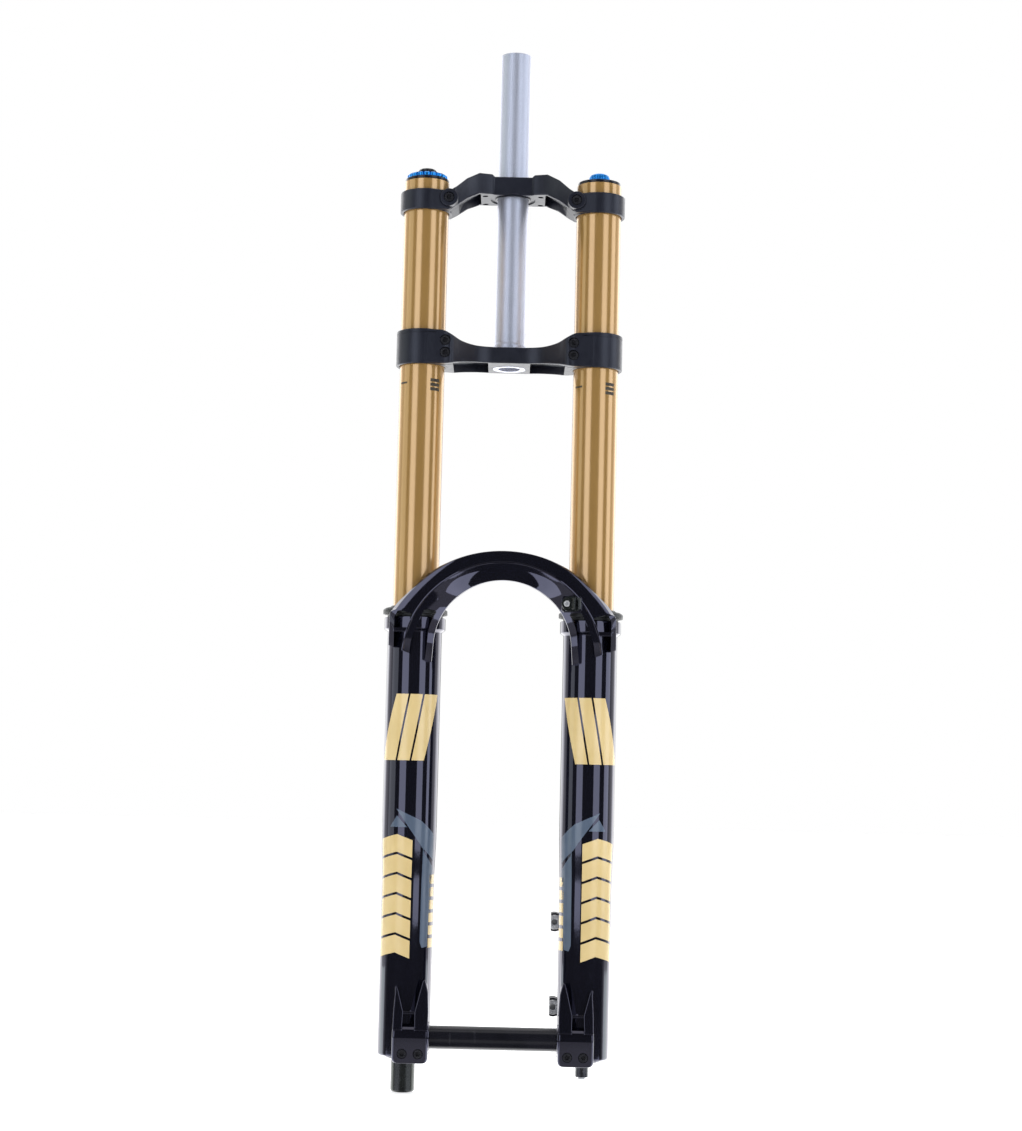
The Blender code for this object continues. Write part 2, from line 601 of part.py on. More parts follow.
def add_damper(lowers):
    centre = (-LEG_X, LEG_Y, 0)
    cap = [(0, CAP_PLUG_Z), (17.2, CAP_PLUG_Z), (17.2, TUBE_TOP + GAP), (19.6, TUBE_TOP + GAP),
           (19.6, 155), (4, 155), (4, 159.4), (0, 159.4)]
    add_piece("damper_top_cap", turned(cap, centre, segments=24), "black_anodised")
    tube = ring(CARTRIDGE_INNER_R, CARTRIDGE_R, -372, CAP_PLUG_Z - GAP, centre, segments=20)
    add_piece("damper_cartridge_tube", tube, "bare_alloy")
    valve = [(0, 18), (11.4, 18), (11.4, 34), (6, 38), (3, 38), (3, CAP_PLUG_Z - GAP),
             (0, CAP_PLUG_Z - GAP)]
    add_piece("compression_valve", turned(valve, centre, segments=16), "bare_alloy")
    seal_head = [(4.3, TUBE_BOTTOM), (17.2, TUBE_BOTTOM), (17.2, -372.3), (11.5, -372.3),
                 (11.5, -364.3), (4.3, -364.3)]
    add_piece("damper_seal_head", turned(seal_head, centre, segments=16), "bare_alloy")
    holder = joint_axis("floating_piston_axis", (-LEG_X, LEG_Y, 60))
    piston = ring(3.4, 11.4, 60, 68, centre, segments=16)
    add_piece("floating_piston", piston, "black_plastic", holder)
    spring = spring_coil(8.2, 1.0, 68.5, CAP_PLUG_Z - 0.8, 5, centre)
    add_piece("floating_piston_spring", spring, "bright_steel", holder)
    add_piece("damper_piston", ring(4.3, 11.5, PISTON_REST, PISTON_REST + 12, centre, segments=16),
              "black_anodised", lowers)
    shaft = [(0, -345), (4, -345), (4, LEG_FLOOR + GAP), (STUD_R, LEG_FLOOR + GAP),
             (STUD_R, -640), (0, -640)]
    add_piece("damper_shaft", turned(shaft, centre, segments=12), "bright_steel", lowers)
    foot_nut = ring(STUD_R + GAP, 8, LEG_FOOT - 6 - GAP, LEG_FOOT - GAP, centre, segments=12)
    add_piece("damper_foot_nut", foot_nut, "bolt_steel", lowers)


def add_damper_knobs():
    centre = (-LEG_X, LEG_Y, 0)
    holder = joint_axis("high_speed_compression_axis", (-LEG_X, LEG_Y, 157))
    profile = [(4.4, 155.3), (18.0, 155.3), (18.4, 155.8), (18.0, 159.0), (9.5, 159.7), (4.4, 159.7)]
    add_piece("high_speed_compression_knob", turned(profile, centre, segments=20),
              "blue_anodised", holder)
    holder = joint_axis("low_speed_compression_axis", (-LEG_X, LEG_Y, 161))
    profile = [(0, 160.0), (8.5, 160.0), (8.5, 163.0), (7.0, 164.8), (3.0, 165.2), (0, 165.2)]
    add_piece("low_speed_compression_knob", turned(profile, centre, segments=16),
              "black_anodised", holder)
    holder = joint_axis("high_speed_rebound_axis", (-LEG_X, LEG_Y, -637))
    add_piece("high_speed_rebound_knob", ring(STUD_R + GAP, 8.6, -639.8, -633.2, centre, segments=20),
              "blue_anodised", holder)
    holder = joint_axis("low_speed_rebound_axis", (-LEG_X, LEG_Y, -644))
    add_piece("low_speed_rebound_knob", cylinder(5.0, -647, -640.3, centre, segments=16),
              "blue_anodised", holder)
    holder = joint_axis("rebound_cover_axis", (-LEG_X, LEG_Y, -640))
    profile = [(0, -656), (9.7, -656), (10.5, -655.2), (10.5, LEG_FOOT - GAP),
               (9.5, LEG_FOOT - GAP), (9.5, -654), (0, -654)]
    add_piece("rebound_cover", turned(profile, centre, segments=24), "black_plastic", holder)


# ---------------------------------------------------------------- air-spring side

def add_air_spring(lowers):
    centre = (LEG_X, LEG_Y, 0)
    cap = [(0, CAP_PLUG_Z), (17.2, CAP_PLUG_Z), (17.2, TUBE_TOP + GAP), (19.2, TUBE_TOP + GAP),
           (19.2, 155.3), (9.3, 155.3), (9.3, 157.3), (3.7, 157.3), (3.7, 138), (0, 138)]
    add_piece("air_top_cap", turned(cap, centre, segments=24), "black_anodised")
    valve = [(0, 138.4), (3.3, 138.4), (3.3, 159.0), (1.6, 159.0), (1.6, 154), (0, 154)]
    add_piece("air_valve", turned(valve, centre, segments=12), "bright_steel")
    holder = joint_axis("air_valve_cap_axis", (LEG_X, LEG_Y, 159))
    profile = [(3.7, 157.7), (9.3, 157.7), (9.3, 160.6), (8.2, 162.8), (5.0, 164.3), (0, 164.8),
               (0, 159.6), (3.7, 159.6)]
    add_piece("air_valve_cap", turned(profile, centre, segments=20), "blue_anodised", holder)
    for index in range(2):
        top = CAP_PLUG_Z - GAP - 14 * index
        add_piece(f"volume_spacer_{index + 1}", cylinder(15, top - 13.6, top, centre, segments=16),
                  "bumper_elastomer")
    seal_head = ring(5.3, 17.2, TUBE_BOTTOM, -372, centre, segments=16)
    add_piece("air_seal_head", seal_head, "bare_alloy")
    top_out = ring(5.4, 12, -371.7, -362.6, centre, segments=12)
    add_piece("top_out_bumper", top_out, "bumper_elastomer")
    add_piece("air_piston", ring(5.3, 17.2, PISTON_REST, PISTON_REST + 14, centre, segments=16),
              "black_anodised", lowers)
    shaft = [(0, -345), (5, -345), (5, LEG_FLOOR + GAP), (STUD_R, LEG_FLOOR + GAP),
             (STUD_R, -642), (0, -642)]
    add_piece("air_shaft", turned(shaft, centre, segments=12), "bright_steel", lowers)
    bumper = ring(5.5, 15, LEG_FLOOR + GAP, LEG_FLOOR + 6, centre, segments=12)
    add_piece("bottom_out_bumper", bumper, "seal_rubber", lowers)
    foot_nut = ring(STUD_R + GAP, 5.7, -640, LEG_FOOT - GAP, centre, segments=12)
    add_piece("air_foot_nut", foot_nut, "bolt_steel", lowers)


def build_fork():
    for thing in list(bpy.data.objects):
        bpy.data.objects.remove(thing, do_unlink=True)
    lowers = joint_axis("travel_axis", (0, LEG_Y, LEG_TOP))
    add_steerer()
    add_lower_crown()
    add_upper_crown()
    add_stanchions()
    add_lower_casting(lowers)
    add_leg_fittings(lowers)
    add_hose_guide(lowers)
    add_axle()
    add_bleed_buttons()
    add_damper(lowers)
    add_damper_knobs()
    add_air_spring(lowers)


build_fork()
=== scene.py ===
"""Looks of a dual-crown suspension fork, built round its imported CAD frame.

Shapes are worked out in millimetres in the row frame: the origin is on the steerer's
axis inside the lower crown, +Z is up the steerer and -Y is forward.
"""
import json
import math

import bmesh
import bpy
from mathutils import Matrix, Vector

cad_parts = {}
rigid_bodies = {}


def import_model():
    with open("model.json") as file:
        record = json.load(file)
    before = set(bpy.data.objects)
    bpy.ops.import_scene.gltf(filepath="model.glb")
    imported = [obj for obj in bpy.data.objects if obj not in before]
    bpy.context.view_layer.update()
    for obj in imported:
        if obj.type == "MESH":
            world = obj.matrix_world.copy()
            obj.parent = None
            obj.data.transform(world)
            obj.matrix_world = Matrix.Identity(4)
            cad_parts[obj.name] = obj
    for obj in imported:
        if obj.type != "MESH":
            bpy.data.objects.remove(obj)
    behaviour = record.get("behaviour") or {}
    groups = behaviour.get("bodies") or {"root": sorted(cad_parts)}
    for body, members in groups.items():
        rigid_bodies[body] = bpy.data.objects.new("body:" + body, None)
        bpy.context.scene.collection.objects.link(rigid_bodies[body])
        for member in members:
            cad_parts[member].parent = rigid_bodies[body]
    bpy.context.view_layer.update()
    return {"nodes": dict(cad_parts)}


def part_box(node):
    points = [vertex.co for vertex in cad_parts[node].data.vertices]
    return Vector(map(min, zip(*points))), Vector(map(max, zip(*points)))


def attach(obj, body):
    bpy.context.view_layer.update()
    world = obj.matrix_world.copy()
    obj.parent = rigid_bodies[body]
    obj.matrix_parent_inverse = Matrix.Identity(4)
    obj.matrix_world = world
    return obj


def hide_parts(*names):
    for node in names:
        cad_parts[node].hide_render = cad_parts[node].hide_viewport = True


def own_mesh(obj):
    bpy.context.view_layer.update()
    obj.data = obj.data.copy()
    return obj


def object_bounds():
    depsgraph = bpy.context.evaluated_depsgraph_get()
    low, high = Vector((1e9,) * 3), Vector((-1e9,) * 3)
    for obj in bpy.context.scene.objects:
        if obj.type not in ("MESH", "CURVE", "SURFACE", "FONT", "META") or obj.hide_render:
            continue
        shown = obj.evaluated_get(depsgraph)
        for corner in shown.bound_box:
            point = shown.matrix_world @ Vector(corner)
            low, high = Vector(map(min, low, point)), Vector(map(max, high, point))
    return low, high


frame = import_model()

MM = 0.001
SIDES = {"damper": -1, "air": 1}
FINE = 128                    # segments round a large tube
ROUND = 48                    # segments round a small part
GAP = 0.3                     # clearance between neighbouring parts


def span(node):
    """Lowest and highest corners of a CAD node, in millimetres."""
    low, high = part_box(node)
    return low / MM, high / MM


# Layout, from the frame
TUBE_LOW, TUBE_HIGH = span("air_stanchion")
STEERER_LOW, STEERER_HIGH = span("steerer_tube")
AXLE_LOW, AXLE_HIGH = span("axle")
LEG_X = (TUBE_LOW.x + TUBE_HIGH.x) / 2
LEG_Y = (TUBE_LOW.y + TUBE_HIGH.y) / 2
TUBE_R = (TUBE_HIGH.x - TUBE_LOW.x) / 2
TUBE_TOP = TUBE_HIGH.z
AXLE_Y = (AXLE_LOW.y + AXLE_HIGH.y) / 2
AXLE_Z = (AXLE_LOW.z + AXLE_HIGH.z) / 2
AXLE_R = (AXLE_HIGH.z - AXLE_LOW.z) / 2
STEERER_R = 15.0
STEERER_NECK_R = 14.3         # above the lower crown

# Crowns
CLAMP_R = 23.5
LOWER_CLAMP = (-17.0, 14.6)
UPPER_CLAMP = (123.6, 142.2)
CLAMP_BOLT_X = 57.2
CLAMP_FRONT_Y = -59.5
CROWN_BOLT_Y = CLAMP_FRONT_Y + 0.6
LOWER_BOLT_Z = (4.4, -6.7)
UPPER_BOLT_Z = 134.4
PAD_END_X = 74.0              # where a clamp's flat front pad runs into its round wall
STEM_HOLE_X = 25.4
STEM_HOLE_Y = 14.3

# Bolts, as (head radius, shank radius, head height, length)
CROWN_BOLT = (4.3, 2.5, 3.8, 12.6)
STEERER_BOLT = (3.6, 2.2, 3.5, 15.0)
STEERER_BOLT_PLACE = (-9.4, 25.0, 156.5)
PINCH_BOLT = (3.8, 2.0, 3.6, 17.0)
GUIDE_BOLT = (2.7, 1.5, 2.4, 9.5)

# Lower legs
LEG_TOP = -243.0
LEG_R = 24.0
LEG_LOW_R = 22.8
TAPER = (-428.0, -480.0)
LEG_FLOOR = -593.5
LEG_FOOT = -626.6
BLEED_Z = -268.0
CLEAR_Z = -150.0              # top of the cutters that reach up past the arch

# Arch: outer, ridge and inner circles as (height of the centre, radius)
ARCH_OUTER = (-298.8, 114.8)
ARCH_RIDGE = (-282.5, 88.0)
ARCH_INNER = (-270.0, 60.5)
ARCH_BACK_Y = -61.0           # where the arch passes in front of the crown's clamps
ARCH_DEEP_Y = -54.0           # back of its middle, between the clamps
ARCH_EDGE_Y = -67.8
ARCH_RIDGE_Y = -70.0
ARCH_INNER_Y = (-59.5, -64.0)  # inner edge at the top and at the ends
ARCH_SPAN = 57.2
WIPER_R = 28.5
GUIDE_PLACE = (55.5, 0, -229.8)  # axis of the hose guide's screw
CLIP_PLACE = (64.0, -75.9, 0)    # axis of its clip

# Dropouts
HUB_HALF = 55.0
BOSS_R = 12.5
BLOCK_X = (55.9, 87.0)
BLOCK_BOTTOM = -628.7
PINCH_X = (64.2, 78.0)
PINCH_Y = AXLE_Y - BOSS_R + 0.8
PINCH_Z = -620.4
POST_X = 52.0
POST_FLAT_X = 48.8            # the posts are cut flat here, clear of the disc
POST_Z = (-508.0, -582.0)


# -------------------- materials

def link(tree, output, target):
    tree.links.new(output, target)


def noise_texture(tree, place, scale, detail=4.0, stretch=(1, 1, 1)):
    """Noise in object space, stretched along the axes, with its value centred on 0.5."""
    mapping = tree.nodes.new("ShaderNodeMapping")
    mapping.inputs["Scale"].default_value = stretch
    link(tree, place, mapping.inputs["Vector"])
    noise = tree.nodes.new("ShaderNodeTexNoise")
    noise.inputs["Scale"].default_value = scale
    noise.inputs["Detail"].default_value = detail
    link(tree, mapping.outputs["Vector"], noise.inputs["Vector"])
    return noise.outputs["Fac"]


def remap(tree, value, low, high, into_low, into_high):
    node = tree.nodes.new("ShaderNodeMapRange")
    for socket, number in zip(("From Min", "From Max", "To Min", "To Max"),
                              (low, high, into_low, into_high)):
        node.inputs[socket].default_value = number
    link(tree, value, node.inputs["Value"])
    return node.outputs["Result"]


def arithmetic(tree, operation, first, second):
    node = tree.nodes.new("ShaderNodeMath")
    node.operation = operation
    link(tree, first, node.inputs[0])
    link(tree, second, node.inputs[1])
    return node.outputs["Value"]


def mix_colours(tree, share, first, second):
    node = tree.nodes.new("ShaderNodeMix")
    node.data_type = "RGBA"
    link(tree, share, node.inputs["Factor"])
    for name, colour in (("A", first), ("B", second)):
        socket = next(item for item in node.inputs if item.name == name and item.type == "RGBA")
        if isinstance(colour, tuple):
            socket.default_value = (*colour, 1)
        else:
            link(tree, colour, socket)
    return next(item for item in node.outputs if item.type == "RGBA")


def surface(name, colour, other, roughness, metallic=0.0, patch=25, grain=900, bump=0.02,
            stretch=(1, 1, 1), wear=0.0, worn=(0.5, 0.5, 0.5), **sockets):
    """Procedural finish: patchy colour, uneven gloss, fine grain and faint worn scratches."""
    material = bpy.data.materials.new(name)
    material.use_nodes = True
    tree = material.node_tree
    shader = tree.nodes["Principled BSDF"]
    place = tree.nodes.new("ShaderNodeTexCoord").outputs["Object"]
    patches = remap(tree, noise_texture(tree, place, patch, 3), 0.35, 0.65, 0, 1)
    paint = mix_colours(tree, patches, colour, other)
    gloss = noise_texture(tree, place, patch * 4, 5, stretch)
    scratches = noise_texture(tree, place, grain * 0.12, 6, (1, 1, 0.06))
    rubs = remap(tree, scratches, 0.62, 0.72, 0, wear)
    paint = mix_colours(tree, rubs, paint, worn)
    link(tree, paint, shader.inputs["Base Color"])
    link(tree, remap(tree, gloss, 0.3, 0.7, roughness[0], roughness[1]), shader.inputs["Roughness"])
    fine = noise_texture(tree, place, grain, 3, stretch)
    relief = tree.nodes.new("ShaderNodeBump")
    relief.inputs["Strength"].default_value = bump
    relief.inputs["Distance"].default_value = 0.0005
    link(tree, fine, relief.inputs["Height"])
    link(tree, relief.outputs["Normal"], shader.inputs["Normal"])
    shader.inputs["Metallic"].default_value = metallic
    for socket, value in sockets.items():
        shader.inputs[socket.replace("_", " ")].default_value = value
    return material


HOOPS = (1, 1, 14)            # turned parts have grain in rings round the Z axis

SURFACES = {}


def coat(name, *colours, **options):
    """Make the surface for one of the frame's material slots."""
    SURFACES[name] = surface(name, *colours, **options)


coat("satin_black", (0.007, 0.0075, 0.013), (0.010, 0.011, 0.018), (0.33, 0.40), patch=30, grain=1500,
     bump=0.12, wear=0.1, worn=(0.03, 0.03, 0.042), IOR=1.5, Specular_Tint=(0.85, 0.88, 1.0, 1))
coat("gloss_black", (0.0016, 0.0018, 0.0042), (0.0028, 0.003, 0.006), (0.035, 0.07), patch=12, grain=260,
     bump=0.015, wear=0.1, worn=(0.01, 0.01, 0.016), IOR=1.8, Specular_Tint=(0.78, 0.76, 1.0, 1))
coat("gold_anodised", (0.45, 0.255, 0.075), (0.47, 0.27, 0.083), (0.15, 0.165), metallic=0.38, patch=18,
     grain=1400, bump=0.006, stretch=HOOPS, wear=0.06, worn=(0.55, 0.40, 0.2), IOR=2.1)
coat("steerer_alloy", (0.53, 0.55, 0.64), (0.60, 0.62, 0.71), (0.40, 0.46), metallic=0.8, patch=1500,
     grain=2200, bump=0.25, wear=0.2, worn=(0.62, 0.64, 0.72))
coat("bare_alloy", (0.70, 0.71, 0.74), (0.80, 0.81, 0.84), (0.2, 0.34), metallic=1.0, patch=40,
     grain=1500, bump=0.06, stretch=HOOPS)
coat("blue_anodised", (0.012, 0.20, 0.62), (0.02, 0.28, 0.75), (0.18, 0.3), metallic=0.8, patch=80,
     grain=1500, bump=0.05, wear=0.3, worn=(0.2, 0.45, 0.8))
coat("black_anodised", (0.006, 0.006, 0.010), (0.012, 0.012, 0.018), (0.17, 0.24), metallic=0.3, patch=40,
     grain=1500, bump=0.06, stretch=(14, 1, 1), wear=0.2, worn=(0.08, 0.08, 0.09))
coat("bolt_steel", (0.035, 0.035, 0.042), (0.06, 0.06, 0.068), (0.2, 0.3), metallic=0.7, patch=200,
     grain=2500, bump=0.06, wear=0.5, worn=(0.2, 0.2, 0.21))
coat("bright_steel", (0.62, 0.62, 0.64), (0.78, 0.78, 0.80), (0.14, 0.3), metallic=0.5, patch=150,
     grain=2500, bump=0.06)
coat("seal_rubber", (0.012, 0.013, 0.014), (0.026, 0.028, 0.028), (0.42, 0.6), patch=90, grain=1800,
     bump=0.25, wear=0.2, worn=(0.06, 0.06, 0.06))
coat("foam", (0.18, 0.15, 0.12), (0.30, 0.26, 0.20), (0.85, 0.98), patch=300, grain=3000, bump=0.9)
coat("bushing_bronze", (0.24, 0.22, 0.17), (0.36, 0.32, 0.24), (0.3, 0.5), metallic=0.6, patch=120,
     grain=1500, bump=0.12, stretch=HOOPS)
coat("bumper_elastomer", (0.50, 0.26, 0.04), (0.62, 0.34, 0.07), (0.5, 0.65), patch=120, grain=1600,
     bump=0.2)
coat("black_plastic", (0.005, 0.0065, 0.0065), (0.010, 0.013, 0.012), (0.2, 0.3), patch=70, grain=1700,
     bump=0.08, wear=0.2, worn=(0.05, 0.05, 0.05))
GOLD_FILM = surface("gold_film", (0.66, 0.49, 0.215), (0.71, 0.535, 0.25), (0.16, 0.24), patch=30,
                    grain=700, bump=0.02, wear=0.15, worn=(0.85, 0.7, 0.4), IOR=1.6)
SLATE_FILM = surface("slate_film", (0.080, 0.108, 0.155), (0.092, 0.122, 0.172), (0.14, 0.24), patch=30,
                     grain=700, bump=0.02, wear=0.15, worn=(0.1, 0.13, 0.17), IOR=1.6)
ETCHING = surface("etching", (0.03, 0.022, 0.014), (0.055, 0.04, 0.02), (0.5, 0.7), patch=400,
                  grain=2500, bump=0.2)
FLOOR_PAINT = surface("floor_paint", (0.92, 0.92, 0.92), (0.94, 0.94, 0.94), (0.8, 0.9), patch=2,
                      grain=60, bump=0.01, Emission_Color=(1, 1, 1, 1), Emission_Strength=0.62)


# -------------------- shape tools

def turned(profile, centre=(0.0, 0.0, 0.0), axis="Z", segments=FINE):
    """Solid of revolution of a closed outline of (radius, height) points."""
    mesh = bmesh.new()
    verts = [mesh.verts.new((radius, 0.0, height)) for radius, height in profile]
    edges = []
    for first, second in zip(verts, verts[1:] + verts[:1]):
        if first.co.x > 0 or second.co.x > 0:
            edges.append(mesh.edges.new((first, second)))
    bmesh.ops.spin(mesh, geom=verts + edges, cent=(0, 0, 0), axis=(0, 0, 1),
                   angle=2 * math.pi, steps=segments, use_merge=True)
    bmesh.ops.remove_doubles(mesh, verts=mesh.verts, dist=0.0005)
    bmesh.ops.recalc_face_normals(mesh, faces=mesh.faces)
    turns = {"Z": Matrix(), "X": Matrix.Rotation(math.pi / 2, 4, "Y"),
             "Y": Matrix.Rotation(-math.pi / 2, 4, "X")}
    mesh.transform(Matrix.Translation(centre) @ turns[axis])
    return mesh


def cylinder(radius, low, high, centre=(0.0, 0.0, 0.0), axis="Z", segments=FINE):
    profile = [(0, low), (radius, low), (radius, high), (0, high)]
    return turned(profile, centre, axis, segments)


def ring(inner, outer, low, high, soft, centre=(0.0, 0.0, 0.0), axis="Z", segments=FINE):
    """Ring with eased edges, or a plug where the inner radius is 0."""
    profile = rounded([(inner, low), (outer, low), (outer, high), (inner, high)], soft)
    return turned(profile, centre, axis, segments)


def rounded(outline, radius, steps=3):
    """Closed outline with each corner off the axis replaced by a short curve."""
    points = []
    for index, corner in enumerate(outline):
        before = Vector(outline[index - 1])
        after = Vector(outline[(index + 1) % len(outline)])
        corner = Vector(corner)
        if corner.x == 0:
            points.append(tuple(corner))
            continue
        start = corner + (before - corner).normalized() * min(radius, (before - corner).length * 0.45)
        end = corner + (after - corner).normalized() * min(radius, (after - corner).length * 0.45)
        for step in range(steps + 1):
            share = step / steps
            points.append(tuple(start.lerp(corner, share).lerp(corner.lerp(end, share), share)))
    return points


def loft(loops):
    """Closed skin through loops of equal length, with flat ends."""
    mesh = bmesh.new()
    rows = [[mesh.verts.new(point) for point in loop] for loop in loops]
    for row, following in zip(rows, rows[1:]):
        for index in range(len(row)):
            after = (index + 1) % len(row)
            mesh.faces.new((row[index], row[after], following[after], following[index]))
    mesh.faces.new(rows[0])
    mesh.faces.new(rows[-1])
    bmesh.ops.recalc_face_normals(mesh, faces=mesh.faces)
    return mesh


def prism(outline, axis, low, high):
    """Outline in the plane across an axis, extruded from low to high along it."""
    places = {"X": lambda a, b, h: (h, a, b), "Y": lambda a, b, h: (a, h, b),
              "Z": lambda a, b, h: (a, b, h)}
    place = places[axis]
    return loft([[place(a, b, height) for a, b in outline] for height in (low, high)])


def box(low, high):
    outline = [(low[0], low[1]), (high[0], low[1]), (high[0], high[1]), (low[0], high[1])]
    return prism(outline, "Z", low[2], high[2])


def arc(centre, radius, start, end, steps):
    """Points on a circle, with angles in degrees from the second axis."""
    points = []
    for index in range(steps + 1):
        angle = math.radians(start + (end - start) * index / steps)
        points.append((centre[0] + radius * math.sin(angle), centre[1] + radius * math.cos(angle)))
    return points


def rounded_rectangle(low, high, radius):
    steps = 8
    corners = [((high[0] - radius, high[1] - radius), 0), ((high[0] - radius, low[1] + radius), 90),
               ((low[0] + radius, low[1] + radius), 180), ((low[0] + radius, high[1] - radius), 270)]
    return [point for centre, start in corners
            for point in arc(centre, radius, start, start + 90, steps)]


def bevelled(mesh, width, segments=2, angle=28):
    """Round off every edge that is sharper than the angle."""
    edges = [edge for edge in mesh.edges
             if len(edge.link_faces) == 2 and edge.calc_face_angle() > math.radians(angle)]
    bmesh.ops.bevel(mesh, geom=edges, offset=width, segments=segments, profile=0.5,
                    affect="EDGES", clamp_overlap=True)
    return mesh


def mirrored(mesh):
    """Copy of a shape on the other side of the X = 0 plane."""
    copy = mesh.copy()
    copy.transform(Matrix.Diagonal((-1, 1, 1, 1)))
    bmesh.ops.reverse_faces(copy, faces=copy.faces)
    return copy


def as_object(mesh, name="work"):
    data = bpy.data.meshes.new(name)
    mesh.to_mesh(data)
    mesh.free()
    made = bpy.data.objects.new(name, data)
    bpy.context.scene.collection.objects.link(made)
    return made


def combine(base, tools, operation):
    """Apply one Boolean operation with all the tools at once, and return the result."""
    target = as_object(base)
    helpers = bpy.data.collections.new("helpers")
    for tool in tools:
        helper = as_object(tool)
        bpy.context.scene.collection.objects.unlink(helper)
        helpers.objects.link(helper)
    bpy.context.scene.collection.children.link(helpers)
    modifier = target.modifiers.new("combine", "BOOLEAN")
    modifier.operation = operation
    modifier.operand_type = "COLLECTION"
    modifier.collection = helpers
    modifier.solver = "EXACT"
    graph = bpy.context.evaluated_depsgraph_get()
    result = bmesh.new()
    result.from_mesh(target.evaluated_get(graph).to_mesh())
    for work in [target] + list(helpers.objects):
        bpy.data.objects.remove(work)
    bpy.data.collections.remove(helpers)
    bmesh.ops.remove_doubles(result, verts=result.verts, dist=0.002)
    bmesh.ops.dissolve_limit(result, angle_limit=math.radians(0.1), verts=result.verts,
                             edges=result.edges)
    return result


def piece(name, mesh, material, body, nodes=()):
    """Turn a shape in millimetres into a finished piece that rides on a CAD body."""
    mesh.transform(Matrix.Scale(MM, 4))
    bmesh.ops.recalc_face_normals(mesh, faces=mesh.faces)
    made = as_object(mesh, name)
    made.data.shade_smooth()
    made.data.set_sharp_from_angle(angle=math.radians(32))
    made.data.materials.append(SURFACES[material] if isinstance(material, str) else material)
    made.modifiers.new("normals", "WEIGHTED_NORMAL").keep_sharp = True
    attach(made, body)
    if nodes:
        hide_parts(*nodes)
    return made


def leg_axis(side):
    """Point on the axis of a stanchion and its leg, at the height of the origin."""
    return (side * LEG_X, LEG_Y, 0)


def blended(sections, steps):
    """Sections with smooth curves between them, spaced by their first item."""
    made = []
    for index in range(len(sections) - 1):
        before = sections[max(index - 1, 0)]
        first, second = sections[index], sections[index + 1]
        after = sections[min(index + 2, len(sections) - 1)]
        width = second[0] - first[0]
        for step in range(steps):
            share = step / steps
            row = [first[0] + width * share]
            for item in range(1, len(first)):
                slope_in = (second[item] - before[item]) / (second[0] - before[0]) * width
                slope_out = (after[item] - first[item]) / (after[0] - first[0]) * width
                row.append((2 * share ** 3 - 3 * share ** 2 + 1) * first[item]
                           + (share ** 3 - 2 * share ** 2 + share) * slope_in
                           + (3 * share ** 2 - 2 * share ** 3) * second[item]
                           + (share ** 3 - share ** 2) * slope_out)
            made.append(tuple(row))
    return made + [tuple(sections[-1])]


def hex_bolt(size, place, axis="Y"):
    """Socket-head bolt with a rounded head and a hexagonal socket."""
    head_r, shank_r, head_height, length = size
    profile = rounded([(0, 0), (head_r, 0), (head_r, head_height), (shank_r, head_height),
                       (shank_r, length), (0, length)], 0.5)
    socket = cylinder(head_r * 0.58, -1, head_height * 0.7, place, axis, 6)
    return combine(turned(profile, place, axis, ROUND), [socket], "DIFFERENCE")


def bolt_hole(size, place, axis="Y"):
    """Counterbored hole for a bolt, open above the bolt's head."""
    head_r, shank_r, head_height, length = size
    run_out = 6.0
    profile = [(0, -run_out), (head_r + 0.5, -run_out), (head_r + 0.5, head_height + GAP),
               (shank_r + GAP, head_height + GAP), (shank_r + GAP, length + GAP), (0, length + GAP)]
    return turned(profile, place, axis, ROUND)


# -------------------- steerer, crowns and stanchions

def add_steerer():
    outline = [(10, STEERER_LOW.z), (STEERER_R, STEERER_LOW.z), (STEERER_R, 11), (STEERER_NECK_R, 13),
               (STEERER_NECK_R, STEERER_HIGH.z), (12, STEERER_HIGH.z), (12, 30), (10, 24)]
    piece("steerer", turned(rounded(outline, 0.5)), "steerer_alloy", "uppers", ["steerer_tube"])


def bar_section(x, front, back, bottom, top, soft):
    """Rectangle with round corners across a crown at one distance from the middle."""
    outline = rounded([(front, bottom), (back, bottom), (back, top), (front, top)], soft, 4)
    return [(x, y, z) for y, z in outline]


def crown_bar(sections, soft, steps):
    """Bridge of a crown from its half list of (x, front, back, bottom, top) sections."""
    half = blended(sections, steps) if steps > 1 else sections
    left = [(-x, *rest) for x, *rest in reversed(half) if x > 0]
    return loft([bar_section(*section, soft) for section in left + half])


def clamp_solids(low, high):
    profile = rounded([(0, low), (CLAMP_R, low), (CLAMP_R, high), (0, high)], 1.2, 4)
    return [turned(profile, leg_axis(side)) for side in SIDES.values()]


def clamp_cuts(low, high):
    """Stanchion bores with eased mouths, and the slots that let the clamps close."""
    cuts = []
    for side in SIDES.values():
        bore = TUBE_R + GAP
        outline = [(0, low - 5), (bore + 0.8, low - 5), (bore + 0.8, low), (bore, low + 0.8),
                   (bore, high - 0.8), (bore + 0.8, high), (bore + 0.8, high + 5), (0, high + 5)]
        cuts.append(turned(outline, leg_axis(side)))
        near, far = sorted((side * 49.0, side * 67.0))
        cuts.append(box((near, -52.6, low - 5), (far, -51.4, high + 5)))
    return cuts


def hollow(sections, wall, depth, steps):
    """Cutter that hollows an arm from below, along sections of (x, front, back, bottom)."""
    loops = []
    for x, front, back, bottom in blended(sections, steps):
        outline = rounded([(front + wall, bottom - wall), (back - wall, bottom - wall),
                           (back - wall, bottom + depth), (front + wall, bottom + depth)], 2.0, 3)
        loops.append([(x, y, z) for y, z in outline])
    return loft(loops)


